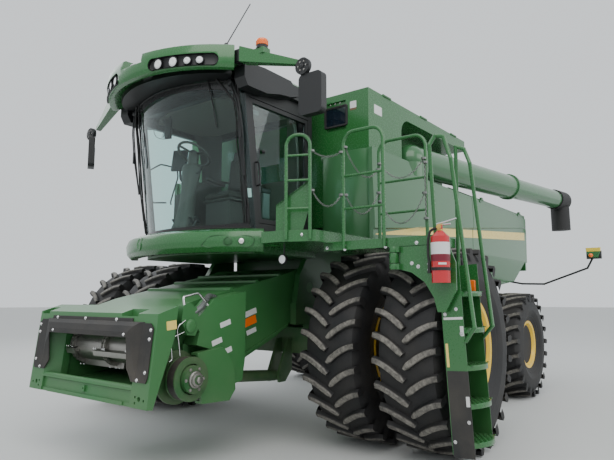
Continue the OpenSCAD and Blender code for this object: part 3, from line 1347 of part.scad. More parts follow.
main_frame();
front_axle();
rear_axle();
threshing_body();
engine_block();
rear_body();
chopper();
grain_tank();
side_panel_left();
side_panel_right();
cab_frame();
cab_glass();
cab_floor();
fascia();
roof();
roof_liner();
white_lamps();
amber_lamps();
antenna();
mirrors();
seat();
seat_base();
steering_column();
platform();
handrails();
extinguisher();
lamp_arms();
front_tyres_left();
front_rims_left();
front_tyres_right();
front_rims_right();
rear_tyre_left();
rear_rim_left();
rear_tyre_right();
rear_rim_right();
knuckle_left();
knuckle_right();
steering_rod();
feeder_house();
feeder_frame();
feeder_surround();
feeder_conveyor();
feeder_shield();
lift_barrels();
lift_rods();
header_drive();
auger_tube();
auger_spout();
cab_door();
door_glass();
ladder();
ladder_guard();
tank_cover_left();
tank_cover_right();
side_door_left();
cooling_door();
rotary_screen();
spreader_left();
spreader_right();
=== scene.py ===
import math
import random

import bmesh
import bpy
from mathutils import Matrix, Vector


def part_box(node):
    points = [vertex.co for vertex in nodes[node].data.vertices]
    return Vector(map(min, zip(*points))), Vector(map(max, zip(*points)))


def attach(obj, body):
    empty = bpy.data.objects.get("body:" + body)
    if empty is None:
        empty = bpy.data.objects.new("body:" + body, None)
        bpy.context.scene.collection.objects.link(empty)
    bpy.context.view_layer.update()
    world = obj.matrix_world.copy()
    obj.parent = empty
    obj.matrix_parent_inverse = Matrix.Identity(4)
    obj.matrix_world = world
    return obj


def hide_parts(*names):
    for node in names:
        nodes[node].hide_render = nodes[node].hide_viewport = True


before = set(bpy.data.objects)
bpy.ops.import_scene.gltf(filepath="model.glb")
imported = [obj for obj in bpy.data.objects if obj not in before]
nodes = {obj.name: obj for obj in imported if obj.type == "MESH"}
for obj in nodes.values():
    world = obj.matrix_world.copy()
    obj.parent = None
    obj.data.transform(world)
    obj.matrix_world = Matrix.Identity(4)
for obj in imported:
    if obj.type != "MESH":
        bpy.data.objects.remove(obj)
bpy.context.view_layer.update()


# The camera stands in front of the machine's left side, a little above the height of a person's belt,
# and looks slightly up. Distances are from the front axle, which is in the middle of the front tyres.
picture_width, focal_pixels = 614, 554.7
eye, gaze = (5.35, 4.78, 1.50), (-0.786, -0.606, 0.121)
left_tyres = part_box("front_tyres_left")
axle_x = (left_tyres[0].x + left_tyres[1].x) / 2
forward = Vector(gaze).normalized()
right = forward.cross(Vector((0, 0, 1))).normalized()
view = bpy.data.cameras.new("view")
view.sensor_width = 36
view.lens = view.sensor_width * focal_pixels / picture_width
view.clip_end = 300
camera = bpy.data.objects.new("camera", view)
turned = Matrix((right, right.cross(forward), -forward)).transposed().to_4x4()
camera.matrix_world = Matrix.Translation(Vector(eye) + Vector((axle_x, 0, 0))) @ turned
bpy.context.scene.collection.objects.link(camera)
bpy.context.scene.camera = camera


def new_material(name):
    """A new material, with its node tree and its Principled BSDF."""
    made = bpy.data.materials.new(name)
    made.use_nodes = True
    return made, made.node_tree, made.node_tree.nodes["Principled BSDF"]


def place(tree, kind, sockets=None, **settings):
    """Adds one shader node, with its settings, and wires or sets its input sockets."""
    node = tree.nodes.new(kind)
    for name, value in settings.items():
        setattr(node, name, value)
    for name, value in (sockets or {}).items():
        if isinstance(value, bpy.types.NodeSocket):
            tree.links.new(value, node.inputs[name])
        else:
            node.inputs[name].default_value = value
    return node


# A pale, plain studio floor. It is a smooth screed with a slight mottle, and isn't part of the machine.
floor_pale, floor_tree, floor_paint = new_material("floor_pale")
floor_paint.inputs["Roughness"].default_value = 0.75
floor_spots = place(floor_tree, "ShaderNodeTexNoise", {"Scale": 0.6, "Detail": 5.0})
floor_tones = place(floor_tree, "ShaderNodeMix", {
    "Factor": floor_spots.outputs["Fac"], "A": (0.56, 0.57, 0.56, 1), "B": (0.64, 0.65, 0.64, 1)},
    data_type="RGBA")
floor_tree.links.new(floor_tones.outputs["Result"], floor_paint.inputs["Base Color"])
floor_mesh = bmesh.new()
bmesh.ops.create_circle(floor_mesh, cap_ends=True, segments=64, radius=90)
floor = bpy.data.objects.new("floor", bpy.data.meshes.new("floor"))
floor_mesh.to_mesh(floor.data)
floor.location = (0, 0, -0.002)
floor.data.materials.append(floor_pale)
bpy.context.scene.collection.objects.link(floor)


# Soft studio light: an even pale surround, a wide panel high over the camera's side, and a weaker one
# over the far side, so that the upward faces are the brightest, as under a cloudy sky.
surround = bpy.data.worlds.new("surround")
surround.use_nodes = True
surround.node_tree.nodes["Background"].inputs["Color"].default_value = (0.93, 0.97, 1.0, 1)
surround.node_tree.nodes["Background"].inputs["Strength"].default_value = 1.0
bpy.context.scene.world = surround


def soft_panel(name, at, aim, size, power, colour=(1, 1, 1)):
    """A rectangular lamp at a place, aimed at a point."""
    lamp = bpy.data.lights.new(name, "AREA")
    lamp.shape = "RECTANGLE"
    lamp.size, lamp.size_y = size
    lamp.energy = power
    lamp.color = colour
    panel = bpy.data.objects.new(name, lamp)
    panel.location = at
    panel.rotation_euler = (Vector(aim) - Vector(at)).to_track_quat("-Z", "Y").to_euler()
    bpy.context.scene.collection.objects.link(panel)


soft_panel("key_panel", (9, 6, 11), (0, 0, 1.5), (12, 10), 900, (1, 0.98, 0.95))
soft_panel("side_panel_light", (-3, 13, 7), (-2, 0, 1.5), (12, 6), 450)
soft_panel("far_panel", (2, -10, 10), (0, 0, 2), (12, 8), 450, (0.94, 0.97, 1))


# Main frame and axles: welded box rails and cast axle housings, painted dark green, with dust that
# settles on upward faces and splashes on whatever is low. The first two effects are used all over.
def port(sockets, name):
    """The socket of that name that is in use."""
    return next(s for s in sockets if s.name == name and s.enabled)


def blend_colours(tree, share, below, above, way="MIX"):
    """Mixes two colours by a share, each given as a value or as a socket."""
    mix = tree.nodes.new("ShaderNodeMix")
    mix.data_type = "RGBA"
    mix.blend_type = way
    for name, value in (("Factor", share), ("A", below), ("B", above)):
        socket = port(mix.inputs, name)
        if isinstance(value, bpy.types.NodeSocket):
            tree.links.new(value, socket)
        else:
            socket.default_value = value
    return port(mix.outputs, "Result")


def new_effect(name, inputs, outputs):
    """An empty shader node group, with its input and output sockets."""
    effect = bpy.data.node_groups.new(name, "ShaderNodeTree")
    for label, kind, value in inputs:
        socket = effect.interface.new_socket(label, in_out="INPUT", socket_type="NodeSocket" + kind)
        socket.default_value = value
    for label, kind in outputs:
        effect.interface.new_socket(label, in_out="OUTPUT", socket_type="NodeSocket" + kind)
    return effect, effect.nodes.new("NodeGroupInput").outputs, effect.nodes.new("NodeGroupOutput").inputs


road_dust, asked, given = new_effect("road dust", [
    ("Paint", "Color", (0.5, 0.5, 0.5, 1)), ("Dust", "Color", (0.30, 0.25, 0.19, 1)),
    ("On Top", "Float", 0.3), ("Low Down", "Float", 0.4), ("Patch Size", "Float", 1.6)],
    [("Colour", "Color"), ("Share", "Float")])
spot = place(road_dust, "ShaderNodeTexCoord")
height = place(road_dust, "ShaderNodeSeparateXYZ", {"Vector": spot.outputs["Object"]})
facing = place(road_dust, "ShaderNodeNewGeometry")
tilt = place(road_dust, "ShaderNodeSeparateXYZ", {"Vector": facing.outputs["Normal"]})
upward = place(road_dust, "ShaderNodeMapRange", {
    "Value": tilt.outputs["Z"], "From Min": 0.55, "From Max": 1.0})
lowness = place(road_dust, "ShaderNodeMapRange", {
    "Value": height.outputs["Z"], "From Min": 1.7, "From Max": 0.1})
patches = place(road_dust, "ShaderNodeTexNoise", {
    "Vector": spot.outputs["Object"], "Scale": asked["Patch Size"], "Detail": 7.0, "Roughness": 0.62})
patch_edge = place(road_dust, "ShaderNodeMapRange", {
    "Value": patches.outputs["Fac"], "From Min": 0.36, "From Max": 0.66})
top_share = place(road_dust, "ShaderNodeMath", {0: upward.outputs[0], 1: asked["On Top"]},
                  operation="MULTIPLY")
low_share = place(road_dust, "ShaderNodeMath", {0: lowness.outputs[0], 1: asked["Low Down"]},
                  operation="MULTIPLY")
both_shares = place(road_dust, "ShaderNodeMath", {0: top_share.outputs[0], 1: low_share.outputs[0]},
                    operation="ADD")
dust_share = place(road_dust, "ShaderNodeMath", {0: both_shares.outputs[0], 1: patch_edge.outputs[0]},
                   operation="MULTIPLY", use_clamp=True)
road_dust.links.new(blend_colours(road_dust, dust_share.outputs[0], asked["Paint"], asked["Dust"]),
                    given["Colour"])
road_dust.links.new(dust_share.outputs[0], given["Share"])

surface_grain, asked, given = new_effect("surface grain", [
    ("Colour", "Color", (0.5, 0.5, 0.5, 1)), ("Size", "Float", 60.0), ("Tone", "Float", 0.06),
    ("Roughness", "Float", 0.5), ("Spread", "Float", 0.1)],
    [("Colour", "Color"), ("Roughness", "Float"), ("Height", "Float")])
spot = place(surface_grain, "ShaderNodeTexCoord")
fine = place(surface_grain, "ShaderNodeTexNoise", {
    "Vector": spot.outputs["Object"], "Scale": asked["Size"], "Detail": 3.0})
broad = place(surface_grain, "ShaderNodeTexNoise", {"Vector": spot.outputs["Object"], "Scale": 0.9,
                                                    "Detail": 3.0})
tone_low = place(surface_grain, "ShaderNodeMath", {0: 1.0, 1: asked["Tone"]}, operation="SUBTRACT")
tone_high = place(surface_grain, "ShaderNodeMath", {0: 1.0, 1: asked["Tone"]}, operation="ADD")
tone = place(surface_grain, "ShaderNodeMapRange", {
    "Value": broad.outputs["Fac"], "From Min": 0.3, "From Max": 0.7,
    "To Min": tone_low.outputs[0], "To Max": tone_high.outputs[0]})
grey = place(surface_grain, "ShaderNodeCombineColor", {
    "Red": tone.outputs[0], "Green": tone.outputs[0], "Blue": tone.outputs[0]})
surface_grain.links.new(
    blend_colours(surface_grain, 1.0, asked["Colour"], grey.outputs[0], "MULTIPLY"), given["Colour"])
rough_low = place(surface_grain, "ShaderNodeMath", {0: asked["Roughness"], 1: asked["Spread"]},
                  operation="SUBTRACT")
rough_high = place(surface_grain, "ShaderNodeMath", {0: asked["Roughness"], 1: asked["Spread"]},
                   operation="ADD")
roughness = place(surface_grain, "ShaderNodeMapRange", {
    "Value": fine.outputs["Fac"], "From Min": 0.3, "From Max": 0.7,
    "To Min": rough_low.outputs[0], "To Max": rough_high.outputs[0]})
surface_grain.links.new(roughness.outputs[0], given["Roughness"])
surface_grain.links.new(fine.outputs["Fac"], given["Height"])


def finish(name, colour, roughness, metal=0.0, coat=0.0, on_top=0.1, low_down=0.3, size=60.0,
           tone=0.05, spread=0.05, relief=0.0, dust=(0.30, 0.25, 0.19)):
    """A painted, moulded or bare surface: its own grain, and road dust over it."""
    made, tree, shader = new_material(name)
    shader.inputs["Metallic"].default_value = metal
    shader.inputs["Coat Weight"].default_value = coat
    shader.inputs["Coat Roughness"].default_value = 0.08
    grain = place(tree, "ShaderNodeGroup", node_tree=surface_grain)
    for label, value in (("Colour", (*colour, 1)), ("Size", size), ("Tone", tone),
                         ("Roughness", roughness), ("Spread", spread)):
        grain.inputs[label].default_value = value
    dirt = place(tree, "ShaderNodeGroup", node_tree=road_dust)
    for label, value in (("Dust", (*dust, 1)), ("On Top", on_top), ("Low Down", low_down)):
        dirt.inputs[label].default_value = value
    tree.links.new(grain.outputs["Colour"], dirt.inputs["Paint"])
    tree.links.new(dirt.outputs["Colour"], shader.inputs["Base Color"])
    dulled = place(tree, "ShaderNodeMapRange", {
        "Value": dirt.outputs["Share"], "To Min": grain.outputs["Roughness"], "To Max": 0.85})
    tree.links.new(dulled.outputs[0], shader.inputs["Roughness"])
    if relief:
        bump = place(tree, "ShaderNodeBump", {"Height": grain.outputs["Height"], "Distance": relief})
        tree.links.new(bump.outputs["Normal"], shader.inputs["Normal"])
    return made


def dress(material, *names):
    """Gives CAD nodes a material."""
    for name in names:
        for slot in nodes[name].material_slots:
            slot.link = "OBJECT"
            slot.material = material


def soften(width, *names, segments=2, turn=35):
    """Rounds the edges of CAD nodes, as pressed and folded sheet has them."""
    for name in names:
        joined = nodes[name].modifiers.new("joined", "WELD")
        joined.merge_threshold = 0.0002
        flat = nodes[name].modifiers.new("flat", "DECIMATE")
        flat.decimate_type = "DISSOLVE"
        flat.angle_limit = math.radians(0.4)
        edges = nodes[name].modifiers.new("edges", "BEVEL")
        edges.width = width
        edges.segments = segments
        edges.limit_method = "ANGLE"
        edges.angle_limit = math.radians(turn)
        edges.harden_normals = True


frame_green = finish("frame_green", (0.016, 0.095, 0.024), 0.38, coat=0.15, low_down=0.5, spread=0.03)
cast_iron = finish("cast_iron", (0.03, 0.033, 0.034), 0.6, metal=0.3, low_down=0.6, size=140, relief=0.001)
worn_steel = finish("worn_steel", (0.36, 0.35, 0.33), 0.36, metal=0.9, size=90, tone=0.15, spread=0.12)
bright_steel = finish("bright_steel", (0.72, 0.72, 0.72), 0.16, metal=1.0, on_top=0.0, low_down=0.1)
dress(frame_green, "main_frame", "front_axle", "rear_axle", "threshing_body", "knuckle_left",
      "knuckle_right")
dress(worn_steel, "steering_rod")


def start(*parts):
    """An empty mesh to build in."""
    return bmesh.new()


def piece(name, mesh, material, body, smooth=None):
    """Makes a finished mesh into a piece of the machine that rides on a body."""
    bmesh.ops.recalc_face_normals(mesh, faces=mesh.faces)
    data = bpy.data.meshes.new(name)
    mesh.to_mesh(data)
    mesh.free()
    for one in material if isinstance(material, list) else [material]:
        data.materials.append(one)
    if smooth is not None:
        data.shade_smooth()
        data.set_sharp_from_angle(angle=math.radians(smooth))
    made = bpy.data.objects.new(name, data)
    bpy.context.scene.collection.objects.link(made)
    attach(made, body)
    return made


axle_frame = Matrix.Translation((axle_x, 0, 0))


def spot_at(x, y, z):
    """A point given from below the front axle's middle, on the ground."""
    return Vector((axle_x + x, y, z))


def turned_to(at, along, around=0.0):
    """A place whose Z axis points along a direction."""
    aim = Vector(along).to_track_quat("Z", "Y").to_matrix().to_4x4()
    return Matrix.Translation(at) @ aim @ Matrix.Rotation(around, 4, "Z")


def add_block(mesh, low, high, edge=0.0, placed=None, rows=2):
    """A block between two corners, with its edges rounded."""
    low, high = Vector(low), Vector(high)
    corners = bmesh.ops.create_cube(mesh, size=1)["verts"]
    for v in corners:
        v.co = (low + high) / 2 + Vector([v.co[i] * (high[i] - low[i]) for i in range(3)])
    if edge:
        lines = list({e for v in corners for e in v.link_edges})
        made = bmesh.ops.bevel(mesh, geom=lines, offset=edge, segments=rows, profile=0.5, affect="EDGES")
        corners = list({v for f in made["faces"] for v in f.verts} | {v for v in corners if v.is_valid})
    if placed:
        bmesh.ops.transform(mesh, matrix=placed, verts=corners)
    return corners


def add_skin(mesh, rings, caps=True):
    """Joins rings of vertices into a skin round a solid, with a face over each end."""
    for one, two in zip(rings, rings[1:]):
        for k in range(len(one)):
            j = (k + 1) % len(one)
            mesh.faces.new([one[k], one[j], two[j], two[k]])
    if caps:
        mesh.faces.new(rings[0])
        mesh.faces.new(rings[-1])


def turns(count):
    """Equal steps round a circle, in radians."""
    return [2 * math.pi * k / count for k in range(count)]


def add_turned(mesh, profile, placed, sides=32):
    """Turns a profile of (radius, height) points about the Z axis of a place."""
    rings = []
    for radius, height in profile:
        if radius < 1e-6:
            rings.append([mesh.verts.new(placed @ Vector((0, 0, height)))])
        else:
            rings.append([mesh.verts.new(placed @ Vector((radius * math.cos(a), radius * math.sin(a),
                                                          height)))
                          for a in turns(sides)])
    for inner, outer in zip(rings, rings[1:]):
        for i in range(sides):
            j = (i + 1) % sides
            loop = [inner[i % len(inner)], inner[j % len(inner)], outer[j % len(outer)],
                    outer[i % len(outer)]]
            corners = list(dict.fromkeys(loop))
            if len(corners) > 2:
                mesh.faces.new(corners)
    for ring in (rings[0], rings[-1]):
        if len(ring) > 2:
            mesh.faces.new(ring)


def rounded(points, bend, steps=5):
    """A line's points with its corners rounded, as in bent tube."""
    points = [Vector(p) for p in points]
    line = [points[0]]
    for before, corner, after in zip(points, points[1:], points[2:]):
        back, on = before - corner, after - corner
        room = min(bend, back.length * 0.49, on.length * 0.49)
        first, last = corner + back.normalized() * room, corner + on.normalized() * room
        for i in range(steps + 1):
            t = i / steps
            line.append(first * (1 - t) ** 2 + corner * 2 * t * (1 - t) + last * t ** 2)
    line.append(points[-1])
    return line


def add_tube(mesh, line, radius, sides=12):
    """Sweeps a round section along a line. The radius is one value or one for each point."""
    line = [Vector(p) for p in line]
    widths = radius if isinstance(radius, list) else [radius] * len(line)
    way = (line[1] - line[0]).normalized()
    side = way.orthogonal().normalized()
    rings = []
    for i, (at, width) in enumerate(zip(line, widths)):
        ahead = line[min(i + 1, len(line) - 1)] - line[max(i - 1, 0)]
        ahead = ahead.normalized()
        side = (side - ahead * side.dot(ahead)).normalized()
        up = ahead.cross(side)
        rings.append([mesh.verts.new(at + (side * math.cos(a) + up * math.sin(a)) * width)
                      for a in turns(sides)])
    add_skin(mesh, rings)


def add_plate(mesh, outline, depth, placed):
    """A flat plate with a given outline in the X and Y of a place, as deep as asked along Z."""
    low = [mesh.verts.new(placed @ Vector((x, y, 0))) for x, y in outline]
    high = [mesh.verts.new(placed @ Vector((x, y, depth))) for x, y in outline]
    mesh.faces.new(low)
    mesh.faces.new(high)
    for i in range(len(outline)):
        j = (i + 1) % len(outline)
        mesh.faces.new([low[i], low[j], high[j], high[i]])


def round_plate(width, height, corner, steps=5):
    """The outline of a rectangle with round corners, about its middle."""
    outline = []
    for cx, cy, first in ((1, 1, 0), (-1, 1, 90), (-1, -1, 180), (1, -1, 270)):
        for i in range(steps + 1):
            turn = math.radians(first + 90 * i / steps)
            outline.append((cx * (width / 2 - corner) + corner * math.cos(turn),
                            cy * (height / 2 - corner) + corner * math.sin(turn)))
    return outline


def add_bolts(mesh, points, along, across=0.024):
    """Hexagon bolt heads on washers, that stand on a surface and point along a direction."""
    for i, at in enumerate(points):
        placed = turned_to(at, along, 0.4 * i)
        add_turned(mesh, [(across * 0.85, -0.001), (across * 0.85, across * 0.12),
                          (across * 0.55, across * 0.12)],
                   placed, 16)
        add_turned(mesh, [(across * 0.56, across * 0.11), (across * 0.56, across * 0.5),
                          (across * 0.46, across * 0.6)], placed, 6)


# Wheels: twin drive wheels on each side and one steered wheel behind. Black rubber with deep bars that
# are worn and dusty on their faces, on pressed steel rims in yellow enamel.


def tyre_finish(name, axle, radius):
    """Rubber that is dusty outside a given radius from the wheel's axle."""
    made, tree, shader = new_material(name)
    spot = place(tree, "ShaderNodeTexCoord")
    from_axle = place(tree, "ShaderNodeVectorMath", {0: spot.outputs["Object"], 1: (axle[0], 0, axle[1])},
                      operation="SUBTRACT")
    flattened = place(tree, "ShaderNodeVectorMath", {0: from_axle.outputs[0], 1: (1, 0, 1)},
                      operation="MULTIPLY")
    reach = place(tree, "ShaderNodeVectorMath", {0: flattened.outputs[0]}, operation="LENGTH")
    tread = place(tree, "ShaderNodeMapRange", {
        "Value": reach.outputs["Value"], "From Min": radius - 0.022, "From Max": radius - 0.006})
    crumbs = place(tree, "ShaderNodeTexNoise", {"Vector": spot.outputs["Object"], "Scale": 26.0,
                                                "Detail": 6.0,
                                                "Roughness": 0.7})
    crumb_edge = place(tree, "ShaderNodeMapRange", {
        "Value": crumbs.outputs["Fac"], "From Min": 0.38, "From Max": 0.62, "To Min": 0.35})
    worn = place(tree, "ShaderNodeMath", {0: tread.outputs[0], 1: crumb_edge.outputs[0]},
                 operation="MULTIPLY")
    smear = place(tree, "ShaderNodeTexNoise", {"Vector": spot.outputs["Object"], "Scale": 3.2,
                                               "Detail": 6.0})
    smear_edge = place(tree, "ShaderNodeMapRange", {
        "Value": smear.outputs["Fac"], "From Min": 0.4, "From Max": 0.75, "To Max": 0.42})
    dusty = blend_colours(tree, smear_edge.outputs[0], (0.008, 0.008, 0.009, 1), (0.055, 0.05, 0.044, 1))
    tree.links.new(blend_colours(tree, worn.outputs[0], dusty, (0.22, 0.205, 0.18, 1)),
                   shader.inputs["Base Color"])
    rough = place(tree, "ShaderNodeMapRange", {"Value": smear_edge.outputs[0], "To Min": 0.62,
                                               "To Max": 0.9})
    tree.links.new(rough.outputs[0], shader.inputs["Roughness"])
    bump = place(tree, "ShaderNodeBump", {"Height": crumbs.outputs["Fac"], "Distance": 0.003})
    tree.links.new(bump.outputs["Normal"], shader.inputs["Normal"])
    return made


front_radius = (left_tyres[1].z - left_tyres[0].z) / 2
rear_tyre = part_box("rear_tyre_left")
rear_radius = (rear_tyre[1].z - rear_tyre[0].z) / 2
rear_x = (rear_tyre[0].x + rear_tyre[1].x) / 2
front_rubber = tyre_finish("front_rubber", (axle_x, front_radius), front_radius)
rear_rubber = tyre_finish("rear_rubber", (rear_x, rear_radius), rear_radius)
rim_yellow = finish("rim_yellow", (0.83, 0.52, 0.012), 0.3, coat=0.3, low_down=0.18)


def add_tyre(mesh, at, radius, width, seat_radius, bars, bar_height, bar_width, slant):
    """A tyre about a wheel's middle: a moulded carcass, and slanted bars down both halves of its tread."""
    half = width / 2
    tread = radius - bar_height
    wall = [(seat_radius, 0.70), (seat_radius + 0.012, 0.80), (seat_radius + 0.035, 0.83),
            (seat_radius + 0.05, 0.85)]
    rise = tread - seat_radius - 0.05
    wall += [(seat_radius + 0.05 + rise * up, out) for up, out in (
        (0.08, 0.89), (0.10, 0.905), (0.13, 0.905), (0.16, 0.93), (0.34, 0.985), (0.36, 0.99), (0.39, 0.99),
        (0.42, 0.985), (0.60, 0.985), (0.76, 0.955), (0.88, 0.90), (0.95, 0.84))]
    crown = [(tread - 0.008, 0.72), (tread - 0.003, 0.4), (tread, 0.0)]
    profile = [(r, -out * half) for r, out in wall + crown] + [(r, out * half) for r,
                                                               out in reversed(wall + crown[:-1])]
    middle = Matrix.Translation(at) @ Matrix.Rotation(math.radians(-90), 4, "X")
    add_turned(mesh, profile, middle, 96)
    for side in (-1, 1):
        for bar in range(bars):
            turn = 2 * math.pi * (bar + (0.5 if side > 0 else 0)) / bars
            rows = []
            steps = 9
            for i in range(steps + 1):
                t = i / steps
                across = 0.02 + 0.98 * min(t * 1.12, 1.0)
                run = slant * (1 - (1 - across) ** 1.6) * half
                nose = 1.0 - 0.55 * max(0.0, 1 - t * 9) ** 2
                drop = 0.012 * across ** 2
                past = max(0.0, t - 0.89) / 0.11
                top = radius - drop - 0.07 * past
                foot = tread - 0.012 - 0.075 * past
                ahead = (1.0, slant * 1.6 * (1 - across) ** 0.6)
                size = math.hypot(*ahead)
                low = bar_width * 0.86
                high = bar_width * 0.5 * nose
                row = []
                for sideways, r in ((-low, foot), (-high - 0.004, top - 0.007), (-high + 0.004, top),
                                    (high - 0.004, top), (high + 0.004, top - 0.007), (low, foot)):
                    y = across * half - sideways * ahead[1] / size
                    u = run + sideways * ahead[0] / size
                    y = max(min(y, half), -half)
                    angle = turn + u / radius
                    row.append(mesh.verts.new(Vector(at) + Vector((
                        r * math.cos(angle), side * y, r * math.sin(angle)))))
                rows.append(row)
            for one, two in zip(rows, rows[1:]):
                for k in range(5):
                    mesh.faces.new([one[k], one[k + 1], two[k + 1], two[k]])
            mesh.faces.new(rows[0])
            mesh.faces.new(rows[-1])


front_bars, rear_bars, drive_width, bar_width, bar_slant = 27, 23, 0.62, 0.046, 0.56
front_bar_height, rear_bar_height, front_bead, rear_bead = 0.045, 0.042, 0.49, 0.335
for side, body_name in ((1, "left"), (-1, "right")):
    box_low, box_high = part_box("front_tyres_" + body_name)
    rubber = start()
    for y in (box_low.y + drive_width / 2, box_high.y - drive_width / 2):
        add_tyre(rubber, (axle_x, y, front_radius), front_radius - 0.001, drive_width, front_bead,
                 front_bars, front_bar_height, bar_width, bar_slant)
    tyres = piece("drive_tyres_" + body_name, rubber, front_rubber, "front_wheels_" + body_name, 32)
    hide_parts("front_tyres_" + body_name)
    box_low, box_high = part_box("rear_tyre_" + body_name)
    rubber = start()
    add_tyre(rubber, (rear_x, (box_low.y + box_high.y) / 2, rear_radius), rear_radius - 0.001,
             box_high.y - box_low.y, rear_bead, rear_bars, rear_bar_height, bar_width, bar_slant)
    tyre = piece("steered_tyre_" + body_name, rubber, rear_rubber, "rear_wheel_" + body_name, 32)
    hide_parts("rear_tyre_" + body_name)

    # Wheel nuts in a circle round each drive wheel's hub.
    fittings = start()
    out = Vector((0, side, 0))
    rim_low, rim_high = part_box("front_rims_" + body_name)
    outer = (rim_high.y if side > 0 else rim_low.y) - side * 0.30
    hub = Vector((axle_x, outer, front_radius))
    circle = [hub + Vector((0.17 * math.cos(a), side * 0.004, 0.17 * math.sin(a))) for a in turns(10)]
    add_bolts(fittings, circle, out, 0.036)
    piece("drive_wheel_nuts_" + body_name, fittings, worn_steel, "front_wheels_" + body_name, 40)
dress(rim_yellow, "front_rims_left", "front_rims_right", "rear_rim_left", "rear_rim_right")


# Machine body: pressed steel sheets in bright green enamel over the threshing drum and the rear hood.
# The plain engine under the rear deck is cast iron; the straw spreaders below the hood are steel discs.
body_green = finish("body_green", (0.023, 0.135, 0.034), 0.27, coat=0.35, on_top=0.08, low_down=0.12,
                    spread=0.015)
# The panels' green is the body's paint made paler and bluer: a painted reflection of the sky.
panel_green_painted_sky = finish("panel_green_painted_sky", (0.042, 0.150, 0.056), 0.25, coat=0.4, on_top=0.08, low_down=0.12,
                     spread=0.015)
black_plastic = finish("black_plastic", (0.011, 0.012, 0.013), 0.46, size=240, relief=0.0006, low_down=0.2)
black_rubber = finish("black_rubber", (0.012, 0.012, 0.012), 0.62, size=120, relief=0.0006, low_down=0.3)
dress(cast_iron, "engine_block")
dress(body_green, "rear_body", "chopper")
dress(frame_green, "spreader_left", "spreader_right")


# Grain tank: a tall box of folded green sheet behind the cab, closed by two covers. A window in a black moulded
# frame looks into it from the front; its pane is an opaque dark sheet, painted shade of the tank's unlit inside.
# Blank stickers are stuck on beside the window.
dress(body_green, "grain_tank", "tank_cover_left", "tank_cover_right")
# A dark glossy pane: a screen's own black, and painted shade where it closes the tank's window.
screen_black_and_painted_shade = finish("screen_black_and_painted_shade", (0.008, 0.014, 0.022), 0.06, coat=0.6, on_top=0, low_down=0, spread=0.01)
white_sticker = finish("white_sticker", (0.66, 0.67, 0.66), 0.4, on_top=0, low_down=0.1, size=20, tone=0.04)
front_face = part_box("grain_tank")[1].x
window_at = spot_at(0, 1.084, 3.672)
window_at.x = front_face
window = start()
sill = turned_to(window_at + Vector((-0.004, 0, 0)), (1, 0, 0), math.radians(90))
outer_edge, inner_edge = round_plate(0.262, 0.342, 0.03), round_plate(0.212, 0.282, 0.018)
rim_rings = [[window.verts.new(sill @ Vector((x, y, z))) for x, y in outline]
             for outline, z in ((outer_edge, 0.0), (outer_edge, 0.012),
                                (round_plate(0.25, 0.33, 0.026), 0.018),
                                (inner_edge, 0.014), (inner_edge, 0.0))]
add_skin(window, rim_rings, caps=False)
piece("tank_window_frame", window, black_rubber, "chassis", 30)
# The window's pane is opaque and dark: painted shade for the inside of the tank.
pane = start()
add_plate(pane, round_plate(0.22, 0.29, 0.02), 0.006, sill)
piece("tank_window_pane", pane, screen_black_and_painted_shade, "chassis", 30)
clips = start()
for y in (-0.07, 0.0, 0.07):
    add_bolts(clips, [window_at + Vector((0.014, y, 0.156))], (1, 0, 0), 0.012)
piece("tank_window_clips", clips, worn_steel, "chassis", 30)


def add_sticker(mesh, corner, right_way, up_way, width, height, lift=0.0016):
    """A thin blank sticker on a flat surface, with round corners."""
    right_way, up_way = Vector(right_way).normalized(), Vector(up_way).normalized()
    out = right_way.cross(up_way)
    placed = Matrix((right_way, up_way, out)).transposed().to_4x4()
    middle = Vector(corner) + right_way * width / 2 + up_way * height / 2 + out * 0.0004
    add_plate(mesh, round_plate(width, height, min(width, height) * 0.08, 3), lift,
              Matrix.Translation(middle) @ placed)


stickers = start()
add_sticker(stickers, (front_face, 1.288, 3.735), (0, 1, 0), (0, 0, 1), 0.088, 0.085)
add_sticker(stickers, (axle_x - 0.15, 1.54, 3.665), (-1, 0, 0), (0, 0, 1), 0.18, 0.11)
piece("tank_stickers", stickers, white_sticker, "chassis")
brown_sticker = finish("brown_sticker", (0.16, 0.09, 0.05), 0.45, on_top=0, low_down=0)
stickers = start()
add_sticker(stickers, (front_face, 1.288, 3.712), (0, 1, 0), (0, 0, 1), 0.088, 0.024)
piece("tank_sticker_band", stickers, brown_sticker, "chassis")


# Side panels: large pressed panels with a crease, hinged so that they open for service. Their green is painted
# paler and bluer than the frame's, as a painted reflection of the sky on their glossy paint. A yellow stripe runs
# back below the crease on both sides.
dress(panel_green_painted_sky, "side_panel_left", "side_panel_right", "side_door_left", "cooling_door")
dress(black_plastic, "rotary_screen")
soften(0.006, "side_panel_left", "side_panel_right", "side_door_left", "cooling_door")
stripe_yellow = finish("stripe_yellow", (0.80, 0.62, 0.16), 0.3, coat=0.3, on_top=0, low_down=0.1)
panel_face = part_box("side_door_left")[1].y


def on_skin(node, x, z, side):
    """The point of a CAD node's outer skin at a given length and height, seen from one side."""
    found, at, facing, _ = nodes[node].ray_cast(Vector((x, side * 4, z)), Vector((0, -side, 0)))
    return at if found else Vector((x, side * panel_face, z))


def add_sheet(mesh, spots, thick):
    """A closed sheet over a grid of points, thickened downwards or inwards by a vector."""
    top = [[mesh.verts.new(p) for p in row] for row in spots]
    low = [[mesh.verts.new(p + Vector(thick)) for p in row] for row in spots]
    for skin in (top, low):
        for one, two in zip(skin, skin[1:]):
            for a, b, c, d in zip(one, one[1:], two[1:], two):
                mesh.faces.new([a, b, c, d])
    rows, columns = len(spots), len(spots[0])
    loop = [(0, j) for j in range(columns - 1)] + [(i, columns - 1) for i in range(rows - 1)] \
        + [(rows - 1, j) for j in range(columns - 1, 0, -1)] + [(i, 0) for i in range(rows - 1, 0, -1)]
    for (a, b), (c, d) in zip(loop, loop[1:] + loop[:1]):
        mesh.faces.new([top[a][b], top[c][d], low[c][d], low[a][b]])


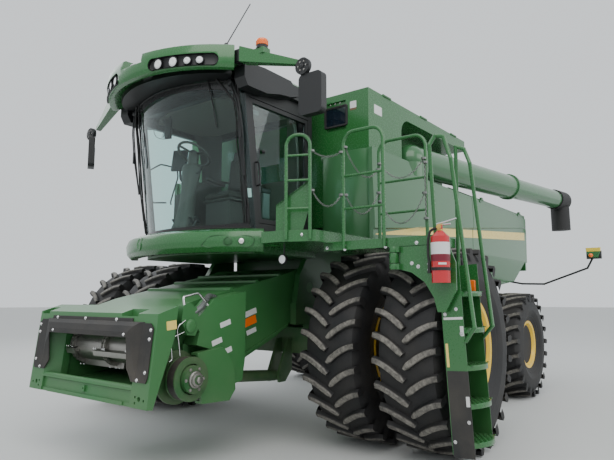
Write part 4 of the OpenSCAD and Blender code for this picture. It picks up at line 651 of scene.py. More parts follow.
def add_band(mesh, node, side, ends, rows, lift=0.0018, sunk=0.001, steps=40):
    """A band that follows a panel's skin between two upright lines of (x, low z, high z)."""
    out = Vector((0, side, 0))
    spots = []
    for i in range(steps + 1):
        t = i / steps
        x, low, high = (ends[0][k] * (1 - t) + ends[1][k] * t for k in range(3))
        spots.append([on_skin(node, x, low + (high - low) * j / rows, side) + out * lift
                      for j in range(rows + 1)])
    add_sheet(mesh, spots, out * -(lift + sunk))


def stripe_line(x):
    """The stripe's lower and upper edge at a given length."""
    places = [(0.12, 2.185, 2.195), (-0.95, 2.272, 2.375), (-5.33, 2.565, 2.705)]
    x = x - axle_x
    for (x0, low0, high0), (x1, low1, high1) in zip(places, places[1:]):
        if x >= x1:
            t = (x - x0) / (x1 - x0)
            return low0 + (low1 - low0) * t, high0 + (high1 - high0) * t
    return places[-1][1:]


for node, body_name, side, length in (
        ("side_panel_left", "chassis", 1, (0.11, -0.95)), ("side_panel_left", "chassis", 1,
                                                           (-0.95, -2.732)),
        ("side_door_left", "side_door_left", 1, (-2.755, -5.33)),
        ("side_panel_right", "chassis", -1, (0.11, -0.95)), ("side_panel_right", "chassis", -1,
                                                             (-0.95, -2.728)),
        ("cooling_door", "cooling_door", -1, (-2.74, -3.06)),
        ("side_panel_right", "chassis", -1, (-4.49, -5.33))):
    stripe = start()
    first, last = axle_x + length[0], axle_x + length[1]
    add_band(stripe, node, side, ((first, *stripe_line(first)), (last, *stripe_line(last))), 2)
    side_name = "left" if side > 0 else "right"
    piece(f"stripe_{side_name}_{round(-length[0] * 100):03d}", stripe, stripe_yellow, body_name,
          20)


# Unloading auger: a long rolled steel tube that swings out from the tank's side, with a bolted collar
# half way and a black rubber spout that hangs from its end.
# The auger tube takes the panels' green, with its painted sky reflection.
dress(panel_green_painted_sky, "auger_tube")
dress(black_rubber, "auger_spout")


# Cab windows: one bent windscreen, glued in and printed black round its edge, with a flat pane in the
# door, at the back and on the right. Lamps and daylight pass through the tinted glass.
def window_glass(name, tint):
    """Clear tinted glass that lets light into what is behind it."""
    made, tree, shader = new_material(name)
    shader.inputs["Base Color"].default_value = (*tint, 1)
    shader.inputs["Roughness"].default_value = 0.0
    shader.inputs["Transmission Weight"].default_value = 1.0
    shader.inputs["IOR"].default_value = 1.35
    let_through = place(tree, "ShaderNodeBsdfTransparent", {"Color": (*tint, 1)})
    path = place(tree, "ShaderNodeLightPath")
    either = place(tree, "ShaderNodeMixShader", {0: path.outputs["Is Shadow Ray"]})
    tree.links.new(shader.outputs[0], either.inputs[1])
    tree.links.new(let_through.outputs[0], either.inputs[2])
    tree.links.new(either.outputs[0], tree.nodes["Material Output"].inputs["Surface"])
    return made


glass_tint = window_glass("glass_tint", (0.74, 0.92, 0.90))
dress(glass_tint, "cab_glass", "door_glass")
dress(black_plastic, "cab_frame", "cab_door")
dress(frame_green, "cab_floor")
soften(0.004, "cab_frame", "cab_door", "cab_floor")
screen_turn_x, screen_radius, screen_lean, cab_floor_z = 0.00983, 1.4702, math.radians(7.7), 2.2


def on_screen(turn, z, out=0.0):
    """A point on the windscreen's outside, at a turn from the middle and a height."""
    a = math.radians(turn)
    return spot_at(screen_turn_x + (screen_radius + out) * math.cos(a) / math.cos(screen_lean)
                   + math.tan(screen_lean) * (z - cab_floor_z), (screen_radius + out) * math.sin(a), z)


def add_curved_band(mesh, edges, out, thick, steps=48):
    """A band on the windscreen. edges gives, for each share of its length, a turn, a low and a high z."""
    rows = []
    for i in range(steps + 1):
        turn, low, high = edges(i / steps)
        rows.append([mesh.verts.new(on_screen(turn, z, o)) for z, o in (
            (low, out), (high, out), (high, out - thick), (low, out - thick))])
    add_skin(mesh, rows)


black_print = finish("black_print", (0.006, 0.006, 0.007), 0.25, coat=0.3, on_top=0, low_down=0)
print_band = start()
add_curved_band(print_band, lambda t: (-35.5 + 71 * t, 2.203, 2.248 + 0.02 * abs(2 * t - 1) ** 3), 0.0015,
                0.002)
add_curved_band(print_band, lambda t: (-35.5 + 71 * t, 3.665 - 0.05 * abs(2 * t - 1) ** 3, 3.738), 0.0015,
                0.002)
for side in (-1, 1):
    add_curved_band(print_band, lambda t: (side * (34.2 + 1.5 * t), 2.245, 3.665), 0.0015, 0.002, 4)
piece("windscreen_print", print_band, black_print, "chassis", 30)

# Rubber seal strips where the windscreen meets the roof and the sill.
seals = start()
for z in (2.215, 3.725):
    add_tube(seals, [on_screen(turn, z, 0.004) for turn in range(-36, 37, 3)], 0.010, 8)
piece("windscreen_seals", seals, black_rubber, "chassis", 40)


# Wipers and cables: two long wiper arms park along the corner posts, with their blades beside them and
# the wash hoses and lamp cables tied along the posts.
def wavy(points, wobble, seed):
    """A line's points with small seeded bends, for a tied cable."""
    dice = random.Random(seed)
    return rounded([Vector(p) + Vector([dice.uniform(-wobble, wobble) for _ in range(3)]) for p in points],
                   0.06, 4)


cables = start()
for side in (-1, 1):
    for strand in range(3):
        turn = side * (35.6 - strand * 1.0)
        heights = [3.72, 3.5, 3.3, 3.08, 2.86, 2.6, 2.4, 2.26]
        add_tube(cables, wavy([on_screen(turn - side * 0.5 * (i % 2), z, 0.016 + 0.006 * strand)
                               for i, z in enumerate(heights)], 0.007, strand + side * 5),
                 0.0085 - 0.0015 * strand, 8)
    add_tube(cables, rounded([on_screen(side * 27, 3.74, 0.03), on_screen(side * 31, 3.60, 0.04),
                              on_screen(side * 34.5, 3.46, 0.03), on_screen(side * 35.5, 3.2, 0.03)], 0.1,
                              5), 0.011, 8)
    add_tube(cables, rounded([on_screen(side * 23, 3.74, 0.02), on_screen(side * 24.5, 3.55, 0.03),
                              on_screen(side * 25.5, 3.25, 0.02)], 0.1, 5), 0.006, 8)
piece("post_cables", cables, black_rubber, "chassis", 50)

wipers = start()
for side in (-1, 1):
    spindle = on_screen(side * 32.5, 3.70, 0.03)
    add_turned(wipers, [(0.034, -0.03), (0.034, 0.02), (0.02, 0.03)], turned_to(spindle, (1, 0, 0)), 20)
    elbow = on_screen(side * 35.4, 3.18, 0.085)
    foot = on_screen(side * 35.2, 2.74, 0.06)
    for step in (0.0, 0.028):
        add_tube(wipers, rounded([spindle + Vector((0.01, step, 0)),
                                  on_screen(side * 34.6, 3.50, 0.08) + Vector((0, step, 0)),
                                  elbow + Vector((0, step, 0)), foot], 0.08, 5), 0.0075, 8)
    blade_top, blade_foot = on_screen(side * 34.3, 3.30, 0.03), on_screen(side * 34.6, 2.42, 0.03)
    add_tube(wipers, [blade_top, on_screen(side * 34.5, 2.85, 0.045), blade_foot], 0.009, 8)
    add_tube(wipers, [foot, on_screen(side * 34.6, 2.85, 0.045)], 0.012, 8)
    add_block(wipers, (-0.012, -0.012, -0.07), (0.012, 0.012, 0.07), 0.004, Matrix.Translation(elbow))
piece("wipers", wipers, black_plastic, "chassis", 40)


# Roof: a green moulded shell whose visor curves round the front, with two oval black pods of work lamps.
# A black liner closes it below.
dress(body_green, "roof")
dress(black_plastic, "roof_liner")
soften(0.010, "roof", segments=3)
soften(0.010, "roof_liner", segments=2)
visor_radius, visor_tip, lamp_z, pod_ends = 1.45, 2.13, 3.815, (12.5, 38.0)


def on_visor(turn, out=0.0, z=lamp_z):
    """A point on the visor's curved front."""
    a = math.radians(turn)
    return spot_at(visor_tip - visor_radius + (visor_radius + out) * math.cos(a),
                   (visor_radius + out) * math.sin(a), z)


pods = start()
for side in (-1, 1):
    loops = []
    for out, half in ((-0.003, 0.0597), (-0.038, 0.0590), (-0.0435, 0.052)):
        arc = math.degrees(half / visor_radius)
        first, last = pod_ends
        loop = [(first + (last - first) * i / 24, half) for i in range(25)]
        loop += [(last + arc * math.sin(math.radians(t)),
                  half * math.cos(math.radians(t))) for t in range(15, 180, 15)]
        loop += [(last - (last - first) * i / 24, -half) for i in range(25)]
        loop += [(first - arc * math.sin(math.radians(t)),
                  -half * math.cos(math.radians(t))) for t in range(15, 180, 15)]
        loops.append([pods.verts.new(on_visor(side * turn, out, lamp_z + up)) for turn, up in loop])
    add_skin(pods, loops, caps=False)
    floor_loop, straight, round_end = loops[-1], 25, 11
    last_low = 2 * straight + round_end - 1
    for i in range(straight - 1):
        pods.faces.new([floor_loop[i], floor_loop[i + 1], floor_loop[last_low - 1 - i], floor_loop[last_low - i]])
    pods.faces.new(floor_loop[straight - 1:straight + round_end + 1])
    pods.faces.new([floor_loop[0]] + floor_loop[last_low:])
piece("lamp_pods", pods, black_plastic, "chassis", 40)

# Work lamps in the pods: round lenses held in black rings; the polished reflectors under them are not drawn. The
# CAD solids are the plain discs that these stand for, with the one that hangs under the deck.
reflector = finish("reflector", (0.88, 0.88, 0.86), 0.10, metal=1.0, on_top=0, low_down=0)
lens_clear = finish("lens_clear", (0.80, 0.82, 0.83), 0.06, coat=0.8, on_top=0, low_down=0, size=300,
                    relief=0.0005)
lamp_turns = (14.7, 21.6, 27.7, 32.8)
rings, lenses = start(), start()
for side in (-1, 1):
    for order, turn in enumerate(lamp_turns):
        wide = 0.047 if order < 2 else 0.040
        way = on_visor(side * turn, 1) - on_visor(side * turn)
        seat_at = turned_to(on_visor(side * turn, -0.044), way) @ Matrix.Diagonal((1.0,
            1.14 if order < 2 else 1.0, 1, 1))
        add_turned(rings, [(wide + 0.006, 0.0), (wide + 0.006, 0.030), (wide + 0.001, 0.034),
                           (wide - 0.004, 0.028),
                           (wide - 0.006, 0.0)], seat_at, 32)
        add_turned(lenses, [(wide - 0.003, 0.008), (wide - 0.003, 0.022), (wide * 0.75, 0.030),
                            (wide * 0.4, 0.034),
                            (wide * 0.22, 0.030), (0, 0.029)], seat_at, 32)
under_deck = spot_at(1.18, 1.30, 2.13 - 0.11 - 0.15)
under_lamp = turned_to(under_deck, (1, 0, 0))
add_turned(rings, [(0.0, 0.0), (0.030, 0.004), (0.048, 0.024), (0.050, 0.052), (0.044, 0.058),
                   (0.042, 0.045)], under_lamp, 32)
add_turned(lenses, [(0.043, 0.045), (0.040, 0.054), (0.02, 0.058), (0, 0.059)], under_lamp, 32)
add_tube(rings, [under_deck + Vector((0.02, 0, 0.04)), under_deck + Vector((0.02, 0, 0.149))], 0.009, 10)
piece("work_lamp_rings", rings, black_plastic, "chassis", 40)
work_lenses = piece("work_lamp_lenses", lenses, lens_clear, "chassis", 40)
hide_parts("white_lamps")


# Beacon and turn signal: amber ribbed lenses on black bases. The beacon stands on the roof over the
# driver's side, and the signal is bolted to the fascia's right end.
lens_amber = finish("lens_amber", (0.90, 0.17, 0.012), 0.12, coat=0.7, on_top=0, low_down=0, size=30,
                    tone=0.12)
beacon_foot = spot_at(1.54, 1.29, 3.9003)
beacon, bases = start(), start()
add_turned(bases, [(0.0, 0.0), (0.060, 0.0), (0.060, 0.010), (0.054, 0.014), (0.056, 0.034), (0, 0.036)],
           Matrix.Translation(beacon_foot), 32)
ribbed = [(0.0590, 0.035)]
for i in range(7):
    ribbed += [(0.0612, 0.038 + i * 0.0062), (0.0594, 0.041 + i * 0.0062)]
ribbed += [(0.0600, 0.084), (0.056, 0.094), (0.044, 0.1015), (0.020, 0.1035), (0, 0.1038)]
add_turned(beacon, ribbed, Matrix.Translation(beacon_foot), 40)
signal_turn = Matrix.Translation(spot_at(screen_turn_x, 0,
                                         cab_floor_z - 0.205)) @ Matrix.Rotation(math.radians(-41), 4, "Z")
add_block(beacon, (screen_radius + 0.112, -0.044, 0.002), (screen_radius + 0.178, -0.012, 0.058), 0.008,
          signal_turn)
add_block(bases, (screen_radius + 0.110, -0.014, 0.0), (screen_radius + 0.180, -0.0005, 0.060), 0.004,
          signal_turn)
piece("signal_bases", bases, black_plastic, "chassis", 40)
lamp_domes = piece("signal_lenses", beacon, lens_amber, "chassis", 40)
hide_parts("amber_lamps")


# Mirrors and antenna: black moulded mirror heads on bent tube arms with round clamp joints, and a thin
# whip antenna on a ball foot.
dress(black_plastic, "mirrors", "antenna")
soften(0.008, "mirrors", segments=3)
mirror_glass = finish("mirror_glass", (0.75, 0.78, 0.80), 0.03, metal=1.0, on_top=0, low_down=0,
                      spread=0.01)
panes = start()
for at, turn, wide, high in (((1.45, 1.835, 3.35), 0, 0.262, 0.39), ((1.45, -1.80, 3.40), -30, 0.24, 0.43)):
    placed = Matrix.Translation(spot_at(*at)) @ Matrix.Rotation(math.radians(turn), 4, "Z") \
        @ Matrix.Translation((-0.0405, 0, 0)) @ Matrix(((0, 0, -1), (1, 0, 0), (0, -1, 0))).to_4x4()
    add_plate(panes, round_plate(wide - 0.035, high - 0.035, 0.04), 0.002, placed)
piece("mirror_panes", panes, mirror_glass, "chassis", 30)
clamps, clamp_ribs = start(), start()
for side in (-1, 1):
    middle = spot_at(1.5073, side * 1.758, 3.62)
    for a in turns(6):
        add_bolts(clamps, [middle + Vector((0, 0.045 * math.cos(a), 0.045 * math.sin(a)))], (1, 0, 0),
                  0.011)
        add_block(clamp_ribs, (-0.002, -0.003, 0.018), (0.004, 0.003, 0.072), 0.001,
                  Matrix.Translation(middle) @ Matrix.Rotation(a + 0.5, 4, "X"))
    add_turned(clamp_ribs, [(0.0, -0.002), (0.020, -0.002), (0.020, 0.006), (0.012, 0.010), (0, 0.010)],
               turned_to(middle, (1, 0, 0)), 20)
piece("mirror_clamp_screws", clamps, worn_steel, "chassis", 40)
piece("mirror_clamp_ribs", clamp_ribs, black_plastic, "chassis", 40)

# Black sleeves over the necks where the mirror arms pivot on the visor, and a small silver catch on the
# low bridge between the two lamp pods.
sleeves, catch = start(), start()
for side in (-1, 1):
    add_block(sleeves, (1.538, 0.985, 3.808), (1.642, 1.082, 3.937), 0.012,
              axle_frame @ Matrix.Diagonal((1, side, 1, 1)))
piece("arm_sleeves", sleeves, black_plastic, "chassis", 40)
add_tube(catch, rounded([spot_at(2.07, -0.075, 3.868), spot_at(2.085, -0.07, 3.905),
                         spot_at(2.085, 0.03, 3.905),
                         spot_at(2.07, 0.035, 3.868)], 0.02, 4), 0.006, 10)
add_block(catch, (2.03, -0.095, 3.8695), (2.10, 0.055, 3.879), 0.003, axle_frame)
piece("visor_catch", catch, bright_steel, "chassis", 40)


# Fascia: the green bonnet strip under the windscreen, one long curved pressing. A raised blank shield
# sits in its middle, and a black-edged pocket on the left holds a round cap and a small silver lamp.
dress(body_green, "fascia")
soften(0.010, "fascia", segments=3)


def on_fascia(turn, z, out=0.0):
    """A point on the fascia's front, which curves in plan and in height."""
    a = math.radians(turn)
    found, at, facing, _ = nodes["fascia"].ray_cast(
        spot_at(screen_turn_x + 3 * math.cos(a), 3 * math.sin(a), z),
        Vector((-math.cos(a), -math.sin(a), 0)))
    reach = at if found else spot_at(screen_turn_x + 1.7 * math.cos(a), 1.7 * math.sin(a), z)
    return reach + Vector((math.cos(a), math.sin(a), 0)) * out


shield = start()
outline = [(-0.045, 0.062), (0.0, 0.070), (0.045, 0.062), (0.048, 0.0), (0.034, -0.045), (0.0, -0.066),
           (-0.034, -0.045), (-0.048, 0.0)]
rows = []
for size, out in ((1.0, 0.0), (1.0, 0.006), (0.93, 0.009), (0.86, 0.006)):
    rows.append([shield.verts.new(on_fascia(-11.5 + math.degrees(x * size / 1.7), 2.075 + z * size,
                                            out)) for x, z in outline])
add_skin(shield, rows, caps=False)
shield.faces.new(rows[-1])
piece("blank_shield", shield, body_green, "chassis", 50)

pocket = start()
line = []
for turn, z in ((19.5, 2.02), (22.5, 2.105), (25.5, 2.115), (36.5, 2.105), (38.0, 2.08), (37.6, 2.02),
                (36.0, 1.995), (21.5, 1.995)):
    line.append(on_fascia(turn, z, 0.001))
add_tube(pocket, rounded(line + [line[0]], 0.03, 4), 0.006, 8)
piece("fascia_pocket_lip", pocket, frame_green, "chassis", 50)
caps, silver = start(), start()
for turn, parts, wide in ((29.0, caps, 0.040), (33.6, silver, 0.030)):
    way = Vector((math.cos(math.radians(turn)), math.sin(math.radians(turn)), 0))
    placed = turned_to(on_fascia(turn, 2.055, -0.004), way)
    add_turned(parts, [(wide, 0.0), (wide, 0.008), (wide * 0.86, 0.012), (wide * 0.8, 0.008),
                       (wide * 0.4, 0.011), (0, 0.012)], placed, 28)
    add_turned(caps, [(wide + 0.007, 0.0), (wide + 0.007, 0.007), (wide + 0.001, 0.008),
                      (wide + 0.001, 0.0)], placed, 28)
piece("fascia_caps", caps, frame_green, "chassis", 50)
piece("fascia_lamp", silver, reflector, "chassis", 50)


# Cab interior: moulded warm grey-brown trim, a ribbed rubber mat, a headliner and rear corner trims that
# are glued to the cab frame, and a column with the steering wheel and its pod.
cab_plastic = finish("cab_plastic", (0.060, 0.056, 0.048), 0.55, on_top=0.05, low_down=0, size=260,
                     relief=0.0006)
trim_light = finish("trim_light", (0.155, 0.145, 0.120), 0.75, on_top=0, low_down=0, size=220,
                    relief=0.0006)
dress(cab_plastic, "seat_base", "steering_column")
soften(0.018, "seat_base", segments=3)

liner_inside = start()
spots = []
for i in range(17):
    along = i / 8 - 1
    x = 0.81 + 0.51 * along
    half = min(0.82, math.sqrt(max(0.05, 1.40 ** 2 - (x - 0.01) ** 2)))
    spots.append([spot_at(x, half * across, 3.712 - 0.055 * abs(across) ** 5 - 0.035 * abs(along) ** 6)
                  for across in [j / 10 - 1 for j in range(21)]])
add_sheet(liner_inside, spots, (0, 0, 0.018))
piece("headliner", liner_inside, trim_light, "chassis", 40)

trims = start()
for side in (-1, 1):
    spots = []
    for i in range(15):
        z = 2.215 + 1.45 * i / 14
        reach = 0.11 + 0.16 * abs(2 * i / 14 - 1) ** 2.5
        spots.append([spot_at(0.295 + reach * (1 - math.cos(a)), side * (0.568 + 0.25 * math.sin(a)), z)
                      for a in [math.radians(t) for t in (0, 18, 36, 54, 72, 90)]])
    add_sheet(trims, spots, (-0.012, side * 0.006, 0))
add_block(trims, (0.285, -0.60, 2.565), (0.335, 0.60, 2.90), 0.02, axle_frame, 3)
piece("rear_trims", trims, cab_plastic, "chassis", 45)

mat = start()
add_plate(mat, [(0.46, -0.80), (1.17, -0.80), (1.33, -0.55), (1.40, -0.25), (1.42, 0), (1.40, 0.25),
                (1.33, 0.55),
                (1.17, 0.80), (0.46, 0.80)], 0.012, axle_frame @ Matrix.Translation((0, 0, 2.2003)))
for row in range(23):
    y = -0.77 + 0.07 * row
    add_block(mat, (0.90, y, 2.2115), (1.14, y + 0.03, 2.2165), 0.002, axle_frame)
piece("floor_mat", mat, black_rubber, "chassis", 30)

# Column shroud and pod: two moulded shells round the steel column, with a tilt lever, a turn stalk, and a
# horn cap in the wheel. The pedals stand on the floor before it.
shroud = start()
foot, head = spot_at(1.377, 0, 2.232), spot_at(1.276, 0, 2.985)
axis = (head - foot).normalized()
across = Vector((0, 1, 0))
front_way = across.cross(axis)
rings = []
for share, deep, wide in (
        (0.0, 0.1024, 0.1110), (0.04, 0.1080, 0.11544), (0.10, 0.0944, 0.1036),
        (0.35, 0.0768, 0.08288), (0.62, 0.0720, 0.07696), (0.80, 0.0832, 0.09472),
        (0.93, 0.0896, 0.10508), (0.99, 0.0800, 0.09472), (1.0, 0.0680, 0.0814)):
    middle = foot + (head - foot) * share
    ring = []
    for a in turns(28):
        c, d = math.cos(a), math.sin(a)
        ring.append(shroud.verts.new(middle + across * wide * math.copysign(abs(c) ** 0.7, c)
                                     + front_way * deep * math.copysign(abs(d) ** 0.7, d)))
    rings.append(ring)
add_skin(shroud, rings)
piece("column_shroud", shroud, cab_plastic, "chassis", 50)
stalks = start()
for side, reach in ((-1, 0.17), (1, 0.14)):
    root = foot + (head - foot) * 0.86
    add_tube(stalks, rounded([root, root + across * side * reach,
                              root + across * side * (reach + 0.03) + axis * 0.05], 0.02),
             [0.009] * 7 + [0.012], 10)
for y in (-0.16, 0.10, 0.20):
    add_tube(stalks, [spot_at(1.43, y, 2.215), spot_at(1.37, y, 2.33)], 0.011, 10)
    add_block(stalks, (-0.045, -0.032, -0.006), (0.045, 0.032, 0.006), 0.005,
              Matrix.Translation(spot_at(1.36, y, 2.34)) @ Matrix.Rotation(math.radians(-48), 4, "Y"))
hub = Matrix.Translation(spot_at(1.255, 0, 3.12)) @ Matrix.Rotation(math.radians(-32), 4, "Y")
add_turned(stalks, [(0.0, -0.035), (0.050, -0.030), (0.062, 0.0), (0.056, 0.014), (0.030, 0.022),
                    (0.0, 0.024)], hub, 32)
piece("column_controls", stalks, black_plastic, "chassis", 45)

# Armrest, joystick and screens: a padded arm to the driver's right carries a moulded stick and a small
# screen, and a second screen hangs from the headliner on a ball arm with its curly lead.
console = start()
stick = Matrix.Translation(spot_at(1.00, -0.375, 2.90)) @ Matrix.Rotation(math.radians(10), 4, "Y")
add_turned(console, [(0.030, 0.0), (0.034, 0.012), (0.022, 0.022), (0.018, 0.06), (0.024, 0.085),
                     (0.032, 0.115),
                     (0.030, 0.145), (0.018, 0.160), (0.0, 0.163)], stick, 24)
for k in range(6):
    add_block(console, (0.80 + 0.03 * k, -0.400, 2.8995), (0.82 + 0.03 * k, -0.352, 2.906), 0.003,
              axle_frame)
screen_arm = spot_at(1.12, -0.40, 2.93)
add_tube(console, rounded([spot_at(1.06, -0.38, 2.86), spot_at(1.12, -0.39, 2.90),
                           screen_arm + Vector((0, 0, 0.09))], 0.04), 0.014, 12)
tablet = Matrix.Translation(screen_arm + Vector((0.01, 0, 0.20))) @ Matrix.Rotation(math.radians(24), 4,
    "Z") \
    @ Matrix.Rotation(math.radians(-12), 4, "Y")
add_block(console, (-0.016, -0.095, -0.135), (0.016, 0.095, 0.135), 0.010, tablet, 3)
hung = Matrix.Translation(spot_at(1.20, -0.545, 3.535)) @ Matrix.Rotation(math.radians(18), 4, "Z")
add_block(console, (-0.022, -0.042, -0.125), (0.022, 0.042, 0.125), 0.010, hung, 3)
add_tube(console, [spot_at(1.17, -0.545, 3.705), spot_at(1.185, -0.56, 3.63)], 0.009, 10)
add_turned(console, [(0.0, -0.02), (0.018, -0.01), (0.020, 0.0), (0.014, 0.014), (0.0, 0.018)],
           turned_to(spot_at(1.185, -0.575, 3.60), (0.2, -1, 0.4)), 16)
add_tube(console, [spot_at(1.185, -0.575, 3.60), spot_at(1.195, -0.55, 3.57)], 0.008, 10)
curl = []
curls, curl_points = 14, 140
for k in range(curl_points):
    t = k / (curl_points - 1)
    a = 2 * math.pi * curls * t
    curl.append(spot_at(1.21 + 0.012 * math.cos(a),
                        -0.62 + 0.03 * math.sin(math.pi * t) - 0.015 + 0.012 * math.sin(a),
                        3.66 - 0.22 * t))
add_tube(console, curl, 0.0035, 6)
add_tube(console, rounded([spot_at(1.33, -0.655, 3.70), spot_at(1.34, -0.65, 3.50),
                           spot_at(1.33, -0.60, 3.40),
                           spot_at(1.27, -0.53, 3.385), spot_at(1.21, -0.53, 3.41)], 0.06), 0.0035, 8)
piece("console_controls", console, black_plastic, "chassis", 45)
screens = start()
add_block(screens, (-0.0172, -0.082, -0.120), (-0.0158, 0.082, 0.120), 0.0, tablet)
piece("tablet_screen", screens, screen_black_and_painted_shade, "chassis")

# Driver's seat: a moulded shell on the seat base, with a base cushion, a backrest, a headrest and two arm
# pads. The cushions are sewn covers over foam, blown up as cloth, and the piping is sewn on after.
seat_cloth = finish("seat_cloth", (0.050, 0.046, 0.038), 0.9, on_top=0, low_down=0, size=420, tone=0.08,
                    relief=0.0012)
lean = Matrix.Translation(spot_at(0.47, 0, 2.65)) @ Matrix.Rotation(math.radians(-8), 4, "Y")
shell = start()
add_block(shell, (0.455, -0.235, 2.6215), (0.90, 0.235, 2.655), 0.015, axle_frame, 3)
add_block(shell, (0.0, -0.215, 0.03), (0.035, 0.215, 0.70), 0.015, lean, 3)
for side in (-1, 1):
    add_tube(shell, rounded([lean @ Vector((0.02, side * 0.235, 0.30)),
                             lean @ Vector((0.05, side * 0.285, 0.30)),
                             lean @ Vector((0.34, side * 0.290, 0.24))], 0.04), 0.014, 12)
piece("seat_shell", shell, cab_plastic, "chassis", 45)


def make_cushion(name, low, high, placed, cap):
    """A sewn cushion: a rounded block blown up as cloth, that swells by no more than a cap."""
    block = start()
    inset = Vector((0.012, 0.012, 0.012))
    add_block(block, Vector(low) + inset, Vector(high) - inset, 0.03, placed, 3)
    cushion = piece(name, block, seat_cloth, "chassis", 60)
    bpy.context.view_layer.objects.active = cushion
    for other in bpy.context.selected_objects:
        other.select_set(False)
    cushion.select_set(True)
    mesher = cushion.modifiers.new("mesh", "REMESH")
    mesher.mode = "VOXEL"
    mesher.voxel_size = 0.0075
    bpy.ops.object.modifier_apply(modifier="mesh")
    before = [v.co.copy() for v in cushion.data.vertices]
    cloth = cushion.modifiers.new("cloth", "CLOTH")
    cloth.settings.use_pressure = True
    cloth.settings.uniform_pressure_force = 4
    cloth.settings.effector_weights.gravity = 0
    cloth.point_cache.frame_start, cloth.point_cache.frame_end = 1, 20
    for step in range(1, 21):
        bpy.context.scene.frame_set(step)
    bpy.ops.object.modifier_apply(modifier="cloth")
    for v, was in zip(cushion.data.vertices, before):
        moved = v.co - was
        if moved.length > cap:
            v.co = was + moved.normalized() * cap
    bpy.context.scene.frame_set(1)
    cushion.data.shade_smooth()
    return cushion


base_pad = make_cushion("seat_cushion", (0.47, -0.245, 2.650), (0.93, 0.245, 2.725), axle_frame, 0.022)
make_cushion("back_cushion", (0.035, -0.225, 0.09), (0.105, 0.225, 0.60), lean, 0.022)
make_cushion("headrest", (0.035, -0.13, 0.615), (0.105, 0.13, 0.725), lean, 0.015)
piping = start()
for inset, placed, corners in (
        (0.06, axle_frame, [(0.53, -0.17, 2.741), (0.87, -0.17, 2.741), (0.87, 0.17, 2.741),
                            (0.53, 0.17, 2.741)]),
        (0.06, lean, [(0.121, -0.15, 0.15), (0.121, -0.15, 0.54), (0.121, 0.15, 0.54),
                      (0.121, 0.15, 0.15)])):
    line = rounded([placed @ Vector(c) for c in corners + corners[:2]], 0.05)
    add_tube(piping, line[6:], 0.004, 8)
for side in (-1, 1):
    add_block(piping, (0.06, side * 0.292 - 0.026, 0.235), (0.36, side * 0.292 + 0.026, 0.272), 0.012, lean,
              3)
piece("seat_piping", piping, cab_plastic, "chassis", 45)
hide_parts("seat")

# Rails and labels at the windows: a bent black grab rail outside the right pane, a blank white tag and a
# grey catch inside the glass, a black knob, and the door's lower trim with its black top.
rail = start()
add_tube(rail, rounded([spot_at(1.20, -0.905, 3.055), spot_at(1.17, -0.935, 3.08),
                        spot_at(1.0, -0.935, 3.19),
                        spot_at(0.74, -0.935, 3.19), spot_at(0.72, -0.935, 3.07),
                        spot_at(0.83, -0.935, 2.72),
                        spot_at(0.845, -0.905, 2.69)], 0.03), 0.0095, 12)
add_tube(rail, rounded([spot_at(1.12, -0.905, 2.68), spot_at(1.09, -0.935, 2.68),
                        spot_at(0.95, -0.935, 2.70),
                        spot_at(0.92, -0.905, 2.70)], 0.02), 0.0095, 12)
piece("right_grab_rail", rail, black_plastic, "chassis", 45)
tags = start()
add_curved_band(tags, lambda t: (35.0 + 2.2 * t, 2.528, 2.622), -0.010, 0.0015, 4)
piece("glass_tag", tags, white_sticker, "chassis", 30)
grey_catch = finish("grey_catch", (0.10, 0.11, 0.11), 0.5, on_top=0, low_down=0)
inner = start()
add_block(inner, (1.10, 0.836, 3.435), (1.235, 0.848, 3.485), 0.006, axle_frame)
piece("door_catch_plate", inner, grey_catch, "cab_door", 45)
inner = start()
add_block(inner, (0.905, 0.820, 2.335), (1.015, 0.845, 2.615), 0.012, axle_frame, 3)
piece("door_trim", inner, finish("door_trim", (0.085, 0.105, 0.100), 0.5, on_top=0, low_down=0), "cab_door",
      45)
inner = start()
add_block(inner, (0.885, 0.812, 2.610), (1.035, 0.846, 2.668), 0.014, axle_frame, 3)
add_turned(inner, [(0.0, 0.0), (0.020, 0.0), (0.022, 0.012), (0.014, 0.022), (0.0, 0.024)],
           turned_to(spot_at(1.05, 0.868, 3.05), (0, 1, 0)), 20)
add_block(inner, (0.86, 0.800, 2.245), (1.03, 0.846, 2.300), 0.012, axle_frame, 3)
piece("door_pads", inner, black_plastic, "cab_door", 45)


# Platform and rails: folded green plate and bent tube, bolted together, with chains that hang between the
# rails' posts as a guard. The deck has a rough tread of small raised studs.
dress(body_green, "platform", "handrails", "ladder")
dress(black_plastic, "ladder_guard")
soften(0.004, "platform", "ladder")
deck_bolts = ((1.852, 1.996), (1.852, 1.958), (2.292, 1.996), (2.292, 1.958), (1.645, 1.978), (2.60, 1.975),
              (1.15, 2.10), (1.15, 2.065), (1.60, 2.085))


def on_front(node, y, z):
    """The foremost point of a CAD node at a given width and height."""
    found, at, facing, _ = nodes[node].ray_cast(Vector((axle_x + 4, y, z)), Vector((-1, 0, 0)))
    return at if found else None


for node, places in (("platform", deck_bolts),
                     ("ladder", [(2.563, 1.796), (2.623, 1.766), (2.725, 1.786), (2.725, 1.733)])):
    bolts = start()
    for y, z in places:
        at = on_front(node, y, z)
        if at:
            add_bolts(bolts, [at], (1, 0, 0), 0.020)
    piece(f"{node}_bolts", bolts, bright_steel, "chassis" if node == "platform" else "ladder", 40)

